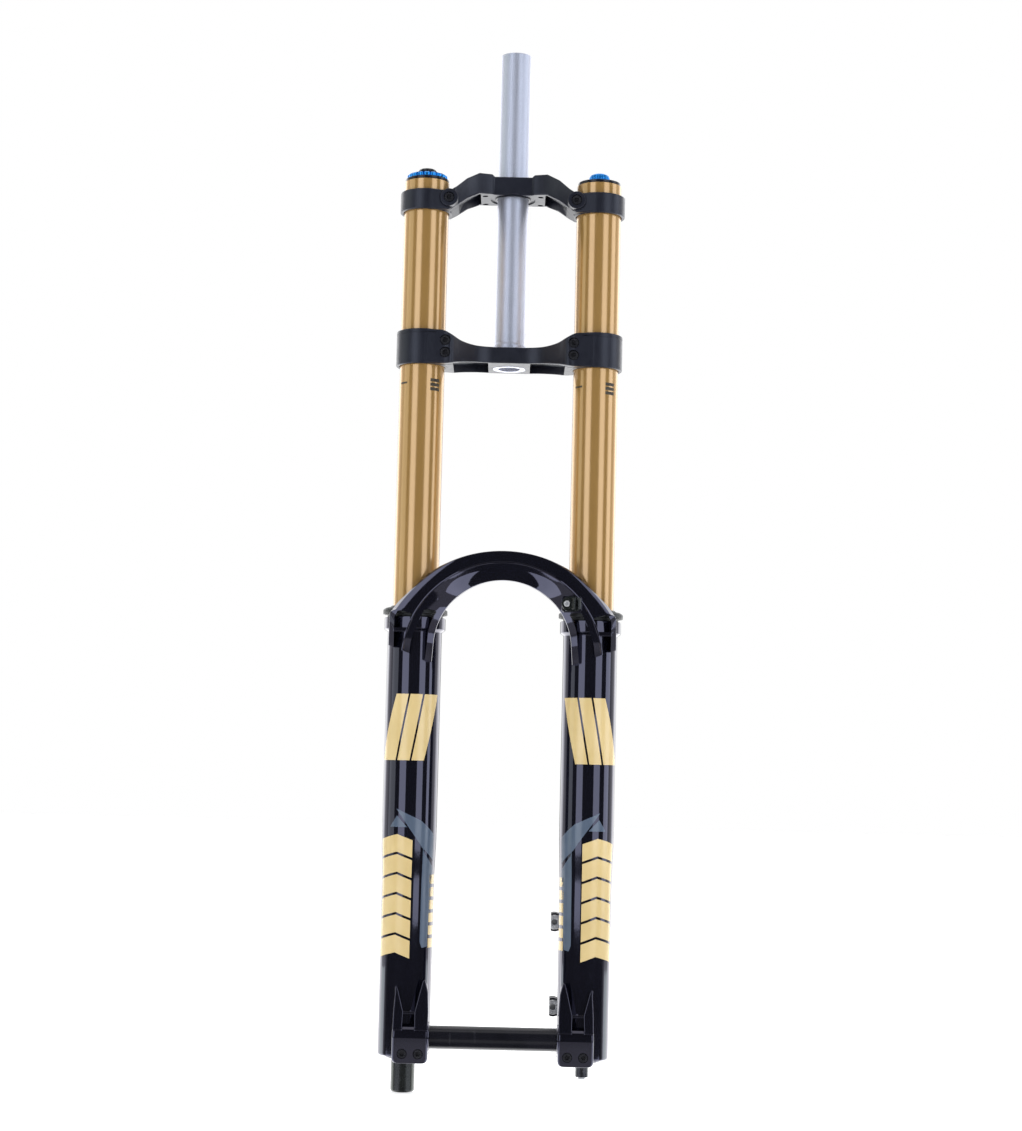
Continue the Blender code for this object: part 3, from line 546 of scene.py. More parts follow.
def add_crown_bolts(name, heights):
    for side_name, side in SIDES.items():
        for index, height in enumerate(heights, 1):
            tail = f"_{index}" if len(heights) > 1 else ""
            place = (side * CLAMP_BOLT_X, CROWN_BOLT_Y, height)
            node = f"{name}_bolt_{side_name}{tail}"
            piece(node + "_fine", hex_bolt(CROWN_BOLT, place), "bolt_steel", "uppers", [node])


def crown_bolt_holes(heights):
    return [bolt_hole(CROWN_BOLT, (side * CLAMP_BOLT_X, CROWN_BOLT_Y, height))
            for side in SIDES.values() for height in heights]


def add_lower_crown():
    sections = [(0, -30, 22, -9.8, 5), (16, -30, 22, -9.8, 5), (28, -34, 18, -10.2, 5),
                (36, -41, 11, -11.6, 5.3), (44, -50, 2, -13.6, 6.6), (51, CLAMP_FRONT_Y, -8, -16, 9.4),
                (59, CLAMP_FRONT_Y, -14, -16.6, 13.4), (PAD_END_X, CLAMP_FRONT_Y + 0.15, -20, -16.6, 14.0)]
    crown = combine(crown_bar(sections, 1.4, 5), clamp_solids(*LOWER_CLAMP), "UNION")
    cuts = clamp_cuts(*LOWER_CLAMP)
    cuts.append(cylinder(STEERER_R + GAP, -30, 30))
    cuts += [ring(CLAMP_R - 0.4, CLAMP_R + 3, 11.0, 11.6, 0.1, leg_axis(side))
             for side in SIDES.values()]
    arm = [(19, -31, 21, -9.9), (28, -34, 18, -10.2), (36, -41, 11, -11.6), (44, -50, 2, -13.6),
           (50, -56.5, -7, -15.5)]
    shape = hollow(arm, 2.6, 8.5, 3)
    cuts += [mirrored(shape), shape]
    cuts += crown_bolt_holes(LOWER_BOLT_Z)
    crown = combine(crown, cuts, "DIFFERENCE")
    piece("lower_crown_fine", crown, "satin_black", "uppers", ["lower_crown"])
    add_crown_bolts("lower_crown", LOWER_BOLT_Z)


def add_upper_crown():
    sections = [(0, -20, 20, 148, 165), (17, -20, 20, 148, 165), (19.5, -22.5, 20.5, 148, 166.6),
                (31, -26, 18, 147.5, 166.6), (42, -38, 2, 139, 158), (51, -50, -12, 129, 147),
                (57, -56, -18, 124.1, 141.7), (PAD_END_X, -59.2, -22, 124.1, 141.7)]
    boss = ring(0, 8, CLAMP_FRONT_Y, -44, 1, (CLAMP_BOLT_X, 0, UPPER_BOLT_Z), "Y", ROUND)
    lug = bevelled(box((-10, 16, 149), (10, 30, 164)), 1.5)
    additions = clamp_solids(*UPPER_CLAMP) + [mirrored(boss), boss, lug]
    crown = combine(crown_bar(sections, 1.4, 1), additions, "UNION")
    cuts = clamp_cuts(*UPPER_CLAMP)
    cuts.append(cylinder(STEERER_NECK_R + GAP, 130, 180))
    cuts.append(ring(16.5, 20.5, 140, 149.2, 0.3))
    cuts.append(box((-0.6, 10, 140), (0.6, 35, 175)))
    for x in (-STEM_HOLE_X, STEM_HOLE_X):
        for y in (-STEM_HOLE_Y, STEM_HOLE_Y):
            cuts.append(cylinder(2.6, 140, 175, (x, y, 0), segments=ROUND))
    arm = [(29.5, -25, 18, 147.5), (34, -28, 15, 145.3), (42, -38, 2, 139), (49, -47, -8.5, 131.2)]
    shape = hollow(arm, 3.6, 8.5, 3)
    cuts += [mirrored(shape), shape]
    cuts += crown_bolt_holes([UPPER_BOLT_Z])
    cuts.append(bolt_hole(STEERER_BOLT, STEERER_BOLT_PLACE, "X"))
    crown = combine(crown, cuts, "DIFFERENCE")
    piece("upper_crown_fine", crown, "satin_black", "uppers", ["upper_crown"])
    add_crown_bolts("upper_crown", [UPPER_BOLT_Z])
    piece("steerer_clamp_bolt_fine", hex_bolt(STEERER_BOLT, STEERER_BOLT_PLACE, "X"), "bolt_steel",
          "uppers", ["steerer_clamp_bolt"])


def add_stanchions():
    wall = 2.5
    for name, side in SIDES.items():
        tube = ring(TUBE_R - wall, TUBE_R, TUBE_LOW.z, TUBE_TOP, 0.6, leg_axis(side))
        piece(f"{name}_tube", tube, "gold_anodised", "uppers", [f"{name}_stanchion"])


# -------------------- lower casting

def leg_radius(height):
    """Outer radius of a leg's tapered barrel."""
    share = min(max((TAPER[0] - height) / (TAPER[0] - TAPER[1]), 0), 1)
    return LEG_R + (LEG_LOW_R - LEG_R) * share * share * (3 - 2 * share)


def leg_solid(side):
    barrel = [(leg_radius(height), height) for height in range(-428, -481, -4)]
    collar = rounded([(0, LEG_TOP), (27, LEG_TOP), (27, -253.5), (LEG_R, -255.5), (LEG_R, -300)], 0.8)
    foot = rounded([(LEG_LOW_R, -600), (LEG_LOW_R, -624.3), (16, -624.3), (16, LEG_FOOT), (0, LEG_FOOT)],
                   1.9, 5)
    return turned(collar[:-4] + barrel + foot[4:], leg_axis(side))


def leg_bore(side):
    """Seat of the wiper, the running bore and the foot hole, as one cutter."""
    profile = [(0, LEG_TOP + 5), (23.3, LEG_TOP + 5), (23.3, -250.3), (21.9, -250.3), (21.9, -426),
               (20.7, -478), (20.7, LEG_FLOOR), (3.5, LEG_FLOOR), (3.5, LEG_FOOT - 5),
               (0, LEG_FOOT - 5)]
    return turned(profile, leg_axis(side), segments=64)


def arch_path(circle, share, end, foot):
    """Point of an arch line: round its circle as share goes to 1, then straight to its foot at 2."""
    centre, radius = circle
    turn = ARCH_SPAN * (1 + share) if share < 0 else ARCH_SPAN + (end - ARCH_SPAN) * min(share, 1)
    angle = math.radians(turn)
    point = Vector((radius * math.sin(angle), centre + radius * math.cos(angle)))
    return point.lerp(Vector(foot), share - 1) if share > 1 else point


def arch_lines(share):
    """Outer, ridge and inner points of the arch at a share: -1 top, 0 end of the band, 2 feet."""
    outer = arch_path(ARCH_OUTER, share, 60.0, (100.2, -268.5))
    ridge = arch_path(ARCH_RIDGE, share, 77.0, (87.5, -273.5))
    inner = arch_path(ARCH_INNER, share, 86.0, (61.6, -282.5))
    return outer, ridge, inner


def eased(value, start, end):
    """Share from 0 at the start to 1 at the end, with a smooth run between."""
    share = min(max((value - start) / (end - start), 0.0), 1.0)
    return share * share * (3 - 2 * share)


def arch_half_loops():
    """Cross-sections of the +X half, from the top of the arch down to its feet."""
    loops = []
    shares = [-1 + index / 24 for index in range(24)] + [index / 12 for index in range(25)]
    for share in shares:
        turn = ARCH_SPAN * min(1 + share, 1)
        low = max(share, 0) / 2
        outer, ridge, inner = arch_lines(share)
        inner_y = ARCH_INNER_Y[0] + (ARCH_INNER_Y[1] - ARCH_INNER_Y[0]) * eased(turn, 30, 55)
        fronts = (ARCH_EDGE_Y + 11 * low ** 2, ARCH_RIDGE_Y + 5 * low ** 2, inner_y + 3.5 * low)
        backs = [ARCH_DEEP_Y + (ARCH_BACK_Y - ARCH_DEEP_Y) * eased(point.x, 36, 49)
                 + 16 * min(2 * low, 1) ** 2 for point in (outer, inner)]
        slope = 3.2 * eased(turn, 16, 50) * (1 - eased(share, 0, 0.6))
        loops.append(section_of_arch(outer, ridge, inner, fronts, backs, slope))
    return loops


def bowed(first, second, bulge, count):
    """Points between two (place, y) marks of a section, bowed forward in the middle."""
    points = []
    for index in range(1, count + 1):
        share = index / (count + 1)
        y = first[1] + (second[1] - first[1]) * share - 4 * bulge * share * (1 - share)
        points.append((first[0].lerp(second[0], share), y))
    return points


def section_of_arch(outer, ridge, inner, fronts, backs, slope):
    """Crescent section with bowed faces, a raised bead on the ridge and a sloped outer edge."""
    front_outer, front_ridge, front_inner = fronts
    across = (outer - inner).normalized()
    edge = (outer - across * (0.6 + slope), front_outer - 0.1)
    above = (ridge + across * 1.1, front_ridge + 0.35)
    below = (ridge - across * 1.1, front_ridge + 0.2)
    lip = (inner + across * 0.9, front_inner - 0.1)
    marks = [edge] + bowed(edge, above, 0.4, 2)
    marks += [above, (ridge + across * 0.7, front_ridge - 0.25), (ridge, front_ridge - 0.45),
              (ridge - across * 0.7, front_ridge - 0.25), below]
    marks += bowed(below, lip, 1.1, 4)
    marks += [lip, (inner + across * 0.3, front_inner + 0.2), (inner, front_inner + 0.9),
              (inner, backs[1]), (outer, backs[0]), (outer, front_outer + 0.8 + 1.7 * slope),
              (outer - across * (0.2 + slope), front_outer + 0.2)]
    return [(point.x, y, point.y) for point, y in marks]


def rib_edge(rows, line, inset):
    """Edge of a rib: a line of the arch, moved towards the arch's outer edge."""
    return [tuple(row[line] + (row[0] - row[2]).normalized() * inset) for row in rows]


def arch_half():
    """The +X half of the arch, with the pockets between its three ribs cut through."""
    half = loft(arch_half_loops())
    shares = [0.1 + 0.1 * index for index in range(24)]
    rows = [arch_lines(share) for share in shares]
    wide = eased_pocket(rib_edge(rows, 2, 6.2), rib_edge(rows, 1, -6.6), 1.5)
    narrow = eased_pocket(rib_edge(rows, 1, 0.6)[2:], rib_edge(rows, 0, -5.2)[2:], 1.2)
    cuts = [prism(wide, "Y", -90, -30), prism(narrow, "Y", -90, -30)]
    half = combine(half, cuts, "DIFFERENCE")
    return bevelled(half, 1.2, 3, 40)


def crown_relief():
    """Cutter behind the +X half of the arch, for the crown that it passes at full travel."""
    outline = [(37, -43), (44, -52), (50, ARCH_BACK_Y), (115, ARCH_BACK_Y), (115, -30), (37, -30)]
    return prism(outline, "Z", -221.5, CLEAR_Z)


def eased_pocket(first, second, soft):
    """Outline between two lists of points, with its upper two corners rounded."""
    top = [first[0], second[0]]
    middle = Vector(top[0]).lerp(Vector(top[1]), 0.5)
    along = (Vector(first[0]) - Vector(first[2])).normalized() * soft
    crown = [tuple(Vector(first[0]).lerp(middle, 0.35) + along),
             tuple(Vector(second[0]).lerp(middle, 0.35) + along)]
    return first[::-1] + crown + second


def add_lower_casting():
    half = arch_half()
    pad = bevelled(prism(rounded_rectangle((51, -237), (69, -222.5), 3), "Y", ARCH_RIDGE_Y, -62), 0.6)
    crossbar = bevelled(box((83, -65, -257), (96, -44, -253)), 0.8)
    arch = combine(half, [mirrored(half), mirrored(crossbar), crossbar, pad], "UNION")
    relief = [cylinder(WIPER_R + 0.9, LEG_TOP - GAP, CLEAR_Z, leg_axis(side)) for side in SIDES.values()]
    relief += [mirrored(crown_relief()), crown_relief()]
    arch = combine(arch, relief, "DIFFERENCE")
    solids = [leg_solid(1), arch]
    for shape in dropout_solids():
        solids += [mirrored(shape), shape]
    solids += post_mounts() + [bleed_boss(side) for side in SIDES.values()]
    casting = combine(leg_solid(-1), solids, "UNION")
    cuts = [leg_bore(side) for side in SIDES.values()]
    for cut in dropout_cuts():
        cuts += [mirrored(cut), cut]
    cuts += [cylinder(6.8, -30, 0, (POST_X, 0, height), "Y", ROUND) for height in POST_Z]
    cuts += [post_flat(height) for height in POST_Z]
    cuts += [cylinder(3.3, -13.2, 0, (side * LEG_X, 0, BLEED_Z), "Y", ROUND) for side in SIDES.values()]
    cuts.append(cylinder(1.8, -80, -63, GUIDE_PLACE, "Y", ROUND))
    casting = combine(casting, cuts, "DIFFERENCE")
    piece("casting", casting, "gloss_black", "lowers", ["lower_casting"])


def dropout_solids():
    """Dropout of the +X leg: block round the axle, hub flange, and two gussets with a shelf."""
    low_x = BLOCK_X[0]
    flange = turned(rounded([(0, HUB_HALF), (12.2, HUB_HALF), (13.4, low_x + 0.5), (0, low_x + 0.5)], 0.6),
                    (0, AXLE_Y, AXLE_Z), "X", 64)
    shelf = bevelled(box((64, -62.5, -587.4), (81, -50, -584.6)), 0.9, 3)
    return [dropout_block(), flange, shelf] + gussets()


def dropout_block():
    """Block with round corners, drafted below the axle and following its boss above."""
    corner = 4.5
    edge = 1.3
    draft = 0.055
    rises = [0, 0.25, 0.7, 1.3, 2.0, 2.8, 3.6, corner]
    tall = AXLE_Z + BOSS_R - 0.3 - BLOCK_BOTTOM
    rises += [corner + (tall - corner) * (index / 24) for index in range(1, 25)]
    loops = []
    for rise in rises:
        height = BLOCK_BOTTOM + rise
        inset = corner - math.sqrt(corner ** 2 - max(corner - rise, 0) ** 2)
        lip = edge - math.sqrt(edge ** 2 - max(edge - rise, 0) ** 2)
        front = AXLE_Y - math.sqrt(BOSS_R ** 2 - max(height - AXLE_Z, 0) ** 2) + lip
        front += draft * max(AXLE_Z - height, 0)
        back = -47.5 if height < -623 else -40
        low_x, high_x = BLOCK_X[0] + inset, BLOCK_X[1] - inset
        outline = rounded([(low_x, front), (high_x, front), (high_x, back), (low_x, back)], 2.6, 5)
        loops.append([(x, y, height) for x, y in outline])
    return loft(loops)


def gussets():
    """Two thin ribs that rise from the block towards the leg."""
    low_x, high_x = BLOCK_X
    outer = [(78.4, -601), (77.7, -585), (82.6, -567), (84.0, -563.8), (86.0, -563.6),
             (high_x - 1.6, -568), (high_x - 0.6, -585), (high_x - 0.3, -601)]
    inner = [(low_x + 0.3, -601), (low_x + 0.1, -585), (low_x + 1.0, -568), (59.2, -559),
             (60.6, -557.6), (62.0, -559.4), (68.2, -585), (68.0, -601)]
    slope = [(-44, -640), (-44, -545), (-56.5, -553), (-60.5, -567), (-64.0, -583), (-65.9, -598),
             (-66.1, -640)]
    return [bevelled(combine(prism(outline, "Y", -80, -45), [prism(slope, "X", 40, 100)], "INTERSECT"),
                     0.9, 3, 30) for outline in (outer, inner)]


def dropout_cuts():
    """Axle bore, the slot below it and the pinch-bolt holes of the +X dropout."""
    high_x = BLOCK_X[1]
    cuts = [cylinder(AXLE_R + GAP, HUB_HALF - 5, high_x + 0.3, (0, AXLE_Y, AXLE_Z), "X", 64),
            box((HUB_HALF - 5, AXLE_Y - 0.75, BLOCK_BOTTOM - 5), (high_x + 0.3, AXLE_Y + 0.75, AXLE_Z))]
    cuts += [bolt_hole(PINCH_BOLT, (x, PINCH_Y, PINCH_Z)) for x in PINCH_X]
    return cuts


def post_mounts():
    """Two brake posts on the inner rear side of the +X leg."""
    shapes = []
    for height in POST_Z:
        shapes.append(ring(0, 8.2, -24, -4, 0.8, (POST_X, 0, height), "Y", ROUND))
        shapes.append(bevelled(box((POST_X, -23, height - 6), (64, -7, height + 6)), 1.2))
    return shapes


def post_flat(height):
    return box((POST_FLAT_X - 15, -30, height - 12), (POST_FLAT_X, 0, height + 12))


def bleed_boss(side):
    return ring(0, 6, -20, -9.5, 0.8, (side * LEG_X, 0, BLEED_Z), "Y", ROUND)


# -------------------- fittings on the lower legs

def add_wipers():
    outline = rounded([(20.3, -249.7), (23.0, -249.7), (23.0, -242.7), (24.5, -242.7), (24.5, -240),
                       (WIPER_R, -240), (WIPER_R, -236.2), (26.2, -234.6), (22.5, -233.8),
                       (21.2, -232.5), (20.3, -232.8)], 0.5)
    for name, side in SIDES.items():
        piece(f"{name}_wiper_fine", turned(outline, leg_axis(side)), "seal_rubber", "lowers",
              [f"{name}_dust_wiper"])


def add_leg_fittings():
    for name, side in SIDES.items():
        for index, x in enumerate(PINCH_X, 1):
            node = f"{name}_axle_pinch_bolt_{index}"
            place = (side * x, PINCH_Y, PINCH_Z)
            piece(node + "_fine", hex_bolt(PINCH_BOLT, place), "bolt_steel", "lowers", [node])
    outline = [(0, -15), (2.6, -15), (2.6, -23.9), (3.1, -24.5), (5.8, -24.5), (6.3, -24), (6.3, -4),
               (5.8, -3.5), (3.1, -3.5), (2.6, -4.1), (2.6, -13), (0, -13)]
    for name, height in zip(("upper", "lower"), POST_Z):
        insert = combine(turned(outline, (POST_X, 0, height), "Y", ROUND), [post_flat(height)],
                         "DIFFERENCE")
        piece(f"{name}_brake_insert_fine", insert, "bright_steel", "lowers",
              [f"{name}_brake_insert"])


def add_hose_guide():
    """Screwed-on tab with an open clip that the brake hose snaps into."""
    tab = bevelled(prism(rounded_rectangle((51.5, -236.4), (68.5, -223.2), 5.5), "Y", -73.0, -70.3), 0.6)
    boss = ring(0, 4.6, -74.6, -72, 0.6, GUIDE_PLACE, "Y", ROUND)
    clip = ring(2.0, 4.3, -234.8, -225, 0.5, CLIP_PLACE, segments=ROUND)
    foot = bevelled(box((60.6, -76.5, -234.2), (67.4, -72, -225.6)), 0.5)
    cuts = [cylinder(3.1, -250, -210, CLIP_PLACE, segments=ROUND),
            box((62.6, -85, -240), (65.4, -76, -215)),
            cylinder(1.8, -80, -60, GUIDE_PLACE, "Y", ROUND)]
    guide = combine(combine(tab, [boss, clip, foot], "UNION"), cuts, "DIFFERENCE")
    piece("hose_guide_fine", guide, "black_plastic", "lowers", ["hose_guide"])
    screw = hex_bolt(GUIDE_BOLT, (GUIDE_PLACE[0], -75.7, GUIDE_PLACE[2]))
    piece("hose_guide_bolt_fine", screw, "bright_steel", "lowers", ["hose_guide_bolt"])


def add_axle():
    end = AXLE_HIGH.x
    tube = ring(7.5, AXLE_R, -end, end, 0.6, (0, AXLE_Y, AXLE_Z), "X", 96)
    piece("axle_fine", tube, "black_anodised", "axle", ["axle"])


def add_bleed_buttons():
    for name, side in SIDES.items():
        outline = rounded([(0, -11.7), (3.0, -11.7), (3.0, -8.0), (2.4, -7.4), (0, -7.4)], 0.3)
        body = f"{name}_bleed_button"
        piece(f"{name}_bleed_fine", turned(outline, (side * LEG_X, 0, BLEED_Z), "Y", ROUND),
              "black_anodised", body, [body])


# -------------------- caps and knobs

def fluted(mesh, centre, count, depth, inner, outer):
    """Push a round wall in and out so that it has finger grips."""
    for vert in mesh.verts:
        offset = Vector((vert.co.x - centre[0], vert.co.y - centre[1]))
        if inner < offset.length <= outer:
            wave = abs(math.sin(math.atan2(offset.y, offset.x) * count / 2))
            offset *= 1 - depth * (1 - wave) ** 2 / offset.length
            vert.co.x = centre[0] + offset.x
            vert.co.y = centre[1] + offset.y
    return mesh


def add_damper_top():
    centre = leg_axis(SIDES["damper"])
    cap = rounded([(0, 132), (17.2, 132), (17.2, TUBE_TOP + GAP), (19.6, TUBE_TOP + GAP), (19.6, 155),
                   (4, 155), (4, 159.4), (0, 159.4)], 0.4)
    piece("damper_cap_fine", turned(cap, centre), "black_anodised", "uppers", ["damper_top_cap"])
    knob = rounded([(4.4, 155.3), (18.0, 155.3), (18.4, 155.9), (18.2, 158.4), (16.9, 159.2), (9.5, 159.7),
                    (4.4, 159.7)], 0.4)
    knob = fluted(turned(knob, centre, segments=216), centre, 18, 1.5, 17.2, 19)
    piece("high_speed_knob_fine", knob, "blue_anodised", "high_speed_compression_knob",
          ["high_speed_compression_knob"])
    knob = rounded([(0, 160.0), (8.5, 160.0), (8.5, 163.0), (7.0, 164.8), (3, 165.2), (0, 165.2)], 0.5)
    knob = fluted(turned(knob, centre, segments=96), centre, 12, 0.8, 7.9, 9)
    piece("low_speed_knob_fine", knob, "black_anodised", "low_speed_compression_knob",
          ["low_speed_compression_knob"])


def add_piston_spring():
    """Coil above the floating piston, built at one length; on the real fork it shortens against the damper
    cap as the piston rises.
    """
    coil_r, wire_r, low, high, turns, steps, sides = 8.2, 1.0, 69.5, 130.2, 5, 32, 12
    loops = []
    for index in range(turns * steps + 1):
        angle = 2 * math.pi * index / steps
        height = low + (high - low) * index / (turns * steps)
        loop = []
        for side in range(sides):
            around = 2 * math.pi * side / sides
            reach = coil_r + wire_r * math.cos(around)
            loop.append((-LEG_X + reach * math.cos(angle), LEG_Y + reach * math.sin(angle),
                         height + wire_r * math.sin(around)))
        loops.append(loop)
    spring = piece("piston_spring_fine", loft(loops), "bright_steel", "uppers", ["floating_piston_spring"])
    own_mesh(spring)


def add_air_top():
    centre = leg_axis(SIDES["air"])
    cap = rounded([(0, 132), (17.2, 132), (17.2, TUBE_TOP + GAP), (19.2, TUBE_TOP + GAP), (19.2, 155.3),
                   (9.3, 155.3), (9.3, 157.3), (3.7, 157.3), (3.7, 138), (0, 138)], 0.35)
    piece("air_cap_fine", turned(cap, centre), "black_anodised", "uppers", ["air_top_cap"])
    cap = rounded([(3.7, 157.7), (9.3, 157.7), (9.3, 160.6), (8.2, 162.8), (5.0, 164.3), (0, 164.8),
                   (0, 159.6), (3.7, 159.6)], 0.5)
    cap = fluted(turned(cap, centre, segments=192), centre, 24, 0.6, 8.6, 9.6)
    piece("valve_cap_fine", cap, "blue_anodised", "air_valve_cap", ["air_valve_cap"])


def add_foot_parts():
    centre = leg_axis(SIDES["damper"])
    cover = rounded([(0, -656), (9.3, -656), (10.5, -654.4), (10.5, LEG_FOOT - GAP),
                     (9.5, LEG_FOOT - GAP), (9.5, -654), (0, -654)], 0.7)
    piece("rebound_cover_fine", turned(cover, centre), "black_plastic", "rebound_cover",
          ["rebound_cover"])
    for node, low, high, inner, outer, count in (
            ("high_speed_rebound_knob", -639.8, -633.2, 3.5, 8.6, 18),
            ("low_speed_rebound_knob", -647, -640.3, 0, 5.0, 10)):
        knob = ring(inner, outer, low, high, 0.5, centre, segments=144)
        knob = fluted(knob, centre, count, 0.6, outer - 0.6, outer + 1)
        piece(node + "_fine", knob, "blue_anodised", node, [node])
    nut = ring(3.5, 5.7, -640, LEG_FOOT - GAP, 0.4, leg_axis(SIDES["air"]), segments=ROUND)
    piece("air_foot_nut_fine", nut, "bolt_steel", "lowers", ["air_foot_nut"])


# -------------------- films on the legs

def wrapped(outline, side, base, radius_at, thickness=0.12, lift=0.03):
    """Thin closed film on a tube: an outline of (share of the half width, height) points."""
    flat = [(base * math.asin(max(min(share, 1.0), -1.0)), height) for share, height in outline]
    mesh = prism(flat, "Y", 0, thickness)
    facets = 16                   # cuts to each radian, a quarter turn being 25
    for step in range(-25, 26):
        cut_film(mesh, (step * base / facets, 0, 0), (1, 0, 0))
    for height in range(int(TAPER[1]), int(TAPER[0]) + 1, 4):
        cut_film(mesh, (0, 0, height), (0, 0, 1))
    for vert in mesh.verts:
        angle = vert.co.x / base
        radius = radius_at(vert.co.z) + lift + thickness - vert.co.y
        vert.co = (side * LEG_X + radius * math.sin(angle), LEG_Y - radius * math.cos(angle), vert.co.z)
    bmesh.ops.recalc_face_normals(mesh, faces=mesh.faces)
    return mesh


def cut_film(mesh, point, normal):
    geometry = mesh.verts[:] + mesh.edges[:] + mesh.faces[:]
    bmesh.ops.bisect_plane(mesh, geom=geometry, dist=0.0001, plane_co=point, plane_no=normal)


def joined(meshes):
    """One mesh of several closed shapes that don't touch."""
    whole = meshes[0]
    for part in meshes[1:]:
        data = bpy.data.meshes.new("part")
        part.to_mesh(data)
        part.free()
        whole.from_mesh(data)
        bpy.data.meshes.remove(data)
    return whole


def slanted_bars(low, high, bounds, count, lean, cut):
    """Outlines of leaning bars side by side, between two heights."""
    left, right = bounds
    width = (right - left - lean) / count
    bars = []
    for index in range(count):
        start = left + width * index
        bars.append([(start, low), (start + width - cut, low), (start + width - cut + lean, high),
                     (start + lean, high)])
    return bars


def chevrons(low, high, bounds, count, tip, cut):
    """Outlines of arrow blocks stacked up a column, between two heights."""
    left, right = bounds
    tall = (high - low - tip) / count
    middle = (left + right) / 2
    blocks = []
    for index in range(count):
        start = low + tall * index
        end = start + tall - cut
        blocks.append([(left, start), (middle, start + tip), (right, start), (right, end),
                       (middle, end + tip), (left, end)])
    return blocks


def film(outlines, side):
    """Film on one leg, from outlines drawn for the -X leg."""
    return joined([wrapped([(-side * share, height) for share, height in outline], side, LEG_R, leg_radius)
                   for outline in outlines])


def add_films():
    """Plain geometric trim in gold and slate; each leg mirrors the other."""
    for name, side in SIDES.items():
        bars = slanted_bars(-369, -311, (-0.98, 0.98), 3, 0.42, 0.07)
        piece(f"{name}_gold_bars", film(bars, side), GOLD_FILM, "lowers")
        column = chevrons(-540, -431, (-0.95, 0.17), 6, 5, 2.2)
        piece(f"{name}_gold_column", film(column, side), GOLD_FILM, "lowers")
        wing = [[(-0.45, -411), (0.45, -421), (0.9, -433), (0.92, -456), (0.5, -444)],
                [(-0.42, -417), (-0.04, -427), (-0.66, -427)],
                [(0.56, -443), (0.60, -449), (0.92, -462), (0.80, -530), (0.62, -531), (0.54, -526)]]
        piece(f"{name}_slate_wing", film(wing, side), SLATE_FILM, "lowers")
        blocks = [[(0.84, low), (0.99, low), (0.99, low + 8), (0.84, low + 8)]
                  for low in range(-531, -465, 11)]
        piece(f"{name}_gold_edge", film(blocks, side), GOLD_FILM, "lowers")


def add_etching():
    """Plain bars etched on the stanchions, just below the lower crown."""
    bars = [(0.42, 0.80, -32.4, -29.6), (0.42, 0.80, -36.4, -33.6), (0.42, 0.80, -40.4, -37.6),
            (-0.90, -0.62, -34.2, -32.6)]
    for name, side in SIDES.items():
        shapes = [wrapped([(left, low), (right, low), (right, high), (left, high)], side, TUBE_R,
                          lambda height: TUBE_R, 0.06, 0.01) for left, right, low, high in bars]
        piece(f"{name}_etching", joined(shapes), ETCHING, "uppers")


# -------------------- CAD pieces that stay

def finish_cad_nodes():
    """Give every CAD node that is still shown the procedural finish of its slot."""
    for node in frame["nodes"].values():
        if not node.hide_render:
            slot = node.material_slots[0].material.name.split(".")[0]
            node.material_slots[0].material = SURFACES[slot]


# -------------------- stage, light and camera

def add_floor():
    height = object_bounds()[0].z - 0.0005
    size = 12.0
    mesh = bmesh.new()
    mesh.faces.new([mesh.verts.new((x * size, y * size, height))
                    for x, y in ((-1, -1), (1, -1), (1, 1), (-1, 1))])
    floor = as_object(mesh, "floor")
    floor.data.materials.append(FLOOR_PAINT)
    floor.visible_glossy = False


def softbox(name, azimuth, width, height, centre_z, distance, radiance, colour):
    """Upright soft light that faces the fork from an azimuth measured from -Y towards +X."""
    data = bpy.data.lights.new(name, "AREA")
    data.shape = "RECTANGLE"
    data.size = width
    data.size_y = height
    data.energy = radiance * width * height * math.pi
    data.color = colour
    lamp = bpy.data.objects.new(name, data)
    angle = math.radians(azimuth)
    lamp.location = (math.sin(angle) * distance, -math.cos(angle) * distance, centre_z)
    face_towards(lamp, centre_z)
    lamp.visible_camera = False
    bpy.context.scene.collection.objects.link(lamp)
    return lamp


def face_towards(lamp, height):
    aim = Vector((0, 0, height)) - lamp.location
    lamp.rotation_euler = aim.to_track_quat("-Z", "Y").to_euler()


def add_lights():
    """Strips, edge lights and low lights round the fork, and one light above it."""
    distance = 2.1
    white = (1, 1, 1)
    cool = (0.84, 0.9, 1.0)
    green = (0.92, 1.0, 0.94)
    deep_green = (0.85, 1.0, 0.88)
    for name, first, last, radiance, colour in (
            ("strip_a", -47, -20, 2.0, cool), ("strip_b", 25, 51, 2.0, cool),
            ("strip_c", -98, -66, 0.9, green), ("strip_d", 72, 96, 2.2, cool)):
        width = 2 * distance * math.tan(math.radians((last - first) / 2))
        softbox(name, (first + last) / 2, width, 2.4, 0.55, distance, radiance, colour)
    for name, azimuth in (("foot_damper_side", -112), ("foot_air_side", 112)):
        softbox(name, azimuth, 1.0, 0.8, -1.12, distance, 1.5, deep_green)
    for name, azimuth in (("rim_damper_side", -143), ("rim_air_side", 143)):
        softbox(name, azimuth, 1.3, 2.8, 0.3, distance, 1.3, white)
    for name, azimuth in (("low_damper_side", -57), ("low_air_side", 57)):
        face_towards(softbox(name, azimuth, 1.25, 1.05, -1.22, 1.22, 2.0, cool), -0.2)
    top = softbox("overhead", 0, 3.0, 3.0, 2.4, 0.01, 0.9, white)
    top.rotation_euler = (0, 0, 0)


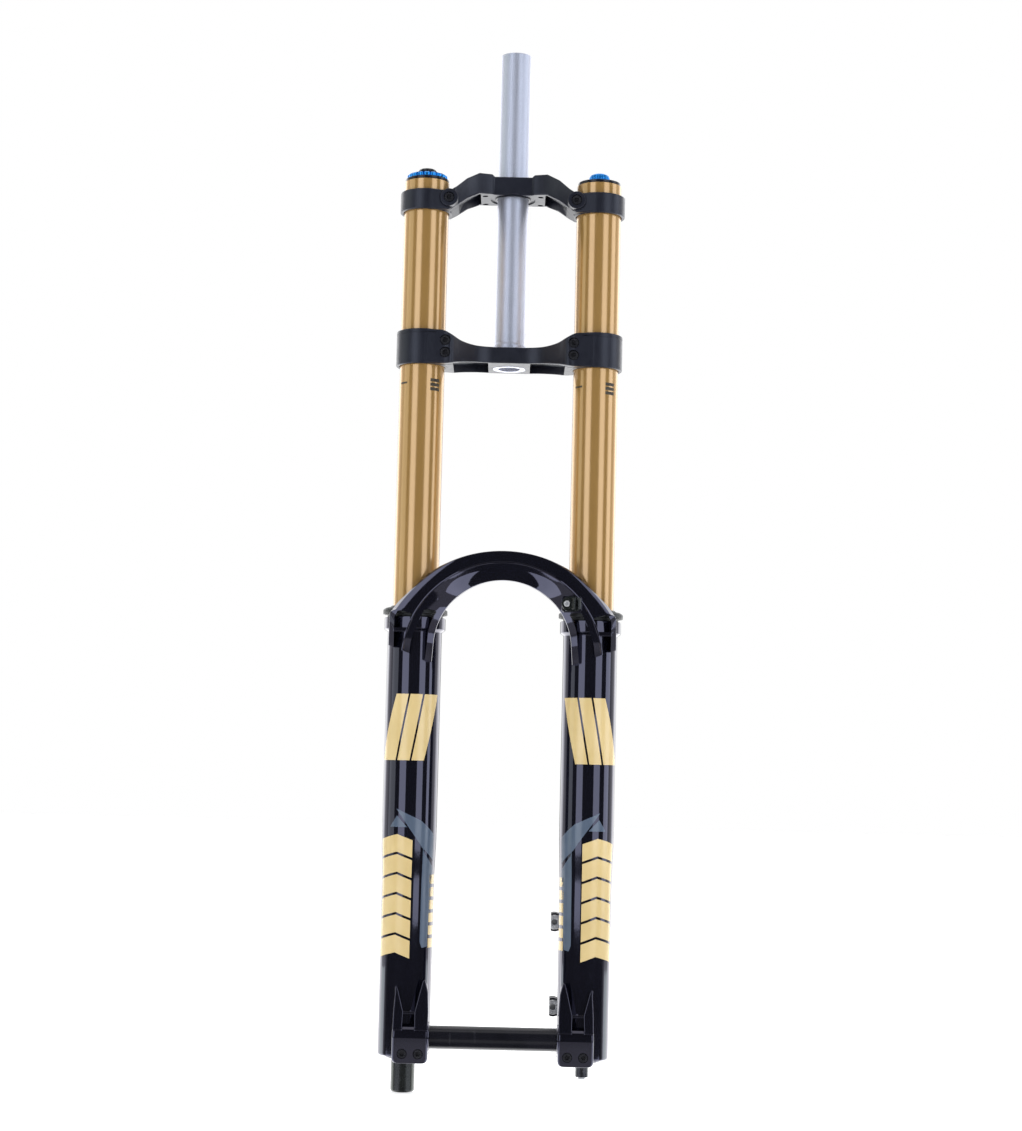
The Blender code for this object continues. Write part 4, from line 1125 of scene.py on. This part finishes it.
def add_world():
    """White for the camera; reflections see it dim in front, grey low in front, white behind."""
    world = bpy.data.worlds.new("studio")
    bpy.context.scene.world = world
    world.use_nodes = True
    tree = world.node_tree
    background = tree.nodes["Background"]
    place = tree.nodes.new("ShaderNodeTexCoord").outputs["Generated"]
    parts = tree.nodes.new("ShaderNodeSeparateXYZ")
    link(tree, place, parts.inputs["Vector"])
    behind = remap(tree, parts.outputs["Y"], -0.1, 0.75, 0.07, 1.3)
    straight_back = remap(tree, parts.outputs["Y"], 0.88, 0.95, 1.0, 0.3)
    behind = arithmetic(tree, "MULTIPLY", behind, straight_back)
    rearward = remap(tree, parts.outputs["Y"], -0.05, 0.3, 0.0, 1.0)
    below = remap(tree, parts.outputs["Z"], -0.25, 0.0, 3.0, 0.0)
    low = arithmetic(tree, "MULTIPLY", rearward, below)
    lowest = remap(tree, parts.outputs["Z"], -0.8, -0.5, 0.0, 1.0)
    level = remap(tree, parts.outputs["Z"], -0.22, -0.16, 0.5, 0.0)
    apron = arithmetic(tree, "MULTIPLY", lowest, level)
    seen = tree.nodes.new("ShaderNodeLightPath").outputs["Is Camera Ray"]
    strength = behind
    for other in (low, seen, apron):
        strength = arithmetic(tree, "MAXIMUM", strength, other)
    link(tree, strength, background.inputs["Strength"])
    background.inputs["Color"].default_value = (1, 1, 1, 1)


def add_camera():
    """Camera in front of the fork, a little below its middle and looking slightly up."""
    data = bpy.data.cameras.new("camera")
    data.lens = 70.03
    data.sensor_width = 36.0
    camera = bpy.data.objects.new("camera", data)
    bpy.context.scene.collection.objects.link(camera)
    forward = Vector((0, 0.995, 0.098)).normalized()
    level = Vector((1, 0, 0))
    up = level.cross(forward)
    roll = math.radians(1.36)
    right = level * math.cos(roll) + up * math.sin(roll)
    up = up * math.cos(roll) - level * math.sin(roll)
    camera.matrix_world = Matrix.Translation((0.006, -1.988, -0.386)) @ Matrix(
        (right, up, -forward)).transposed().to_4x4()
    bpy.context.scene.camera = camera


add_steerer()
add_lower_crown()
add_upper_crown()
add_stanchions()
add_lower_casting()
add_wipers()
add_leg_fittings()
add_hose_guide()
add_axle()
add_bleed_buttons()
add_damper_top()
add_piston_spring()
add_air_top()
add_foot_parts()
add_films()
add_etching()
finish_cad_nodes()
add_floor()
add_lights()
add_world()
add_camera()
bpy.context.scene.view_settings.view_transform = "Standard"
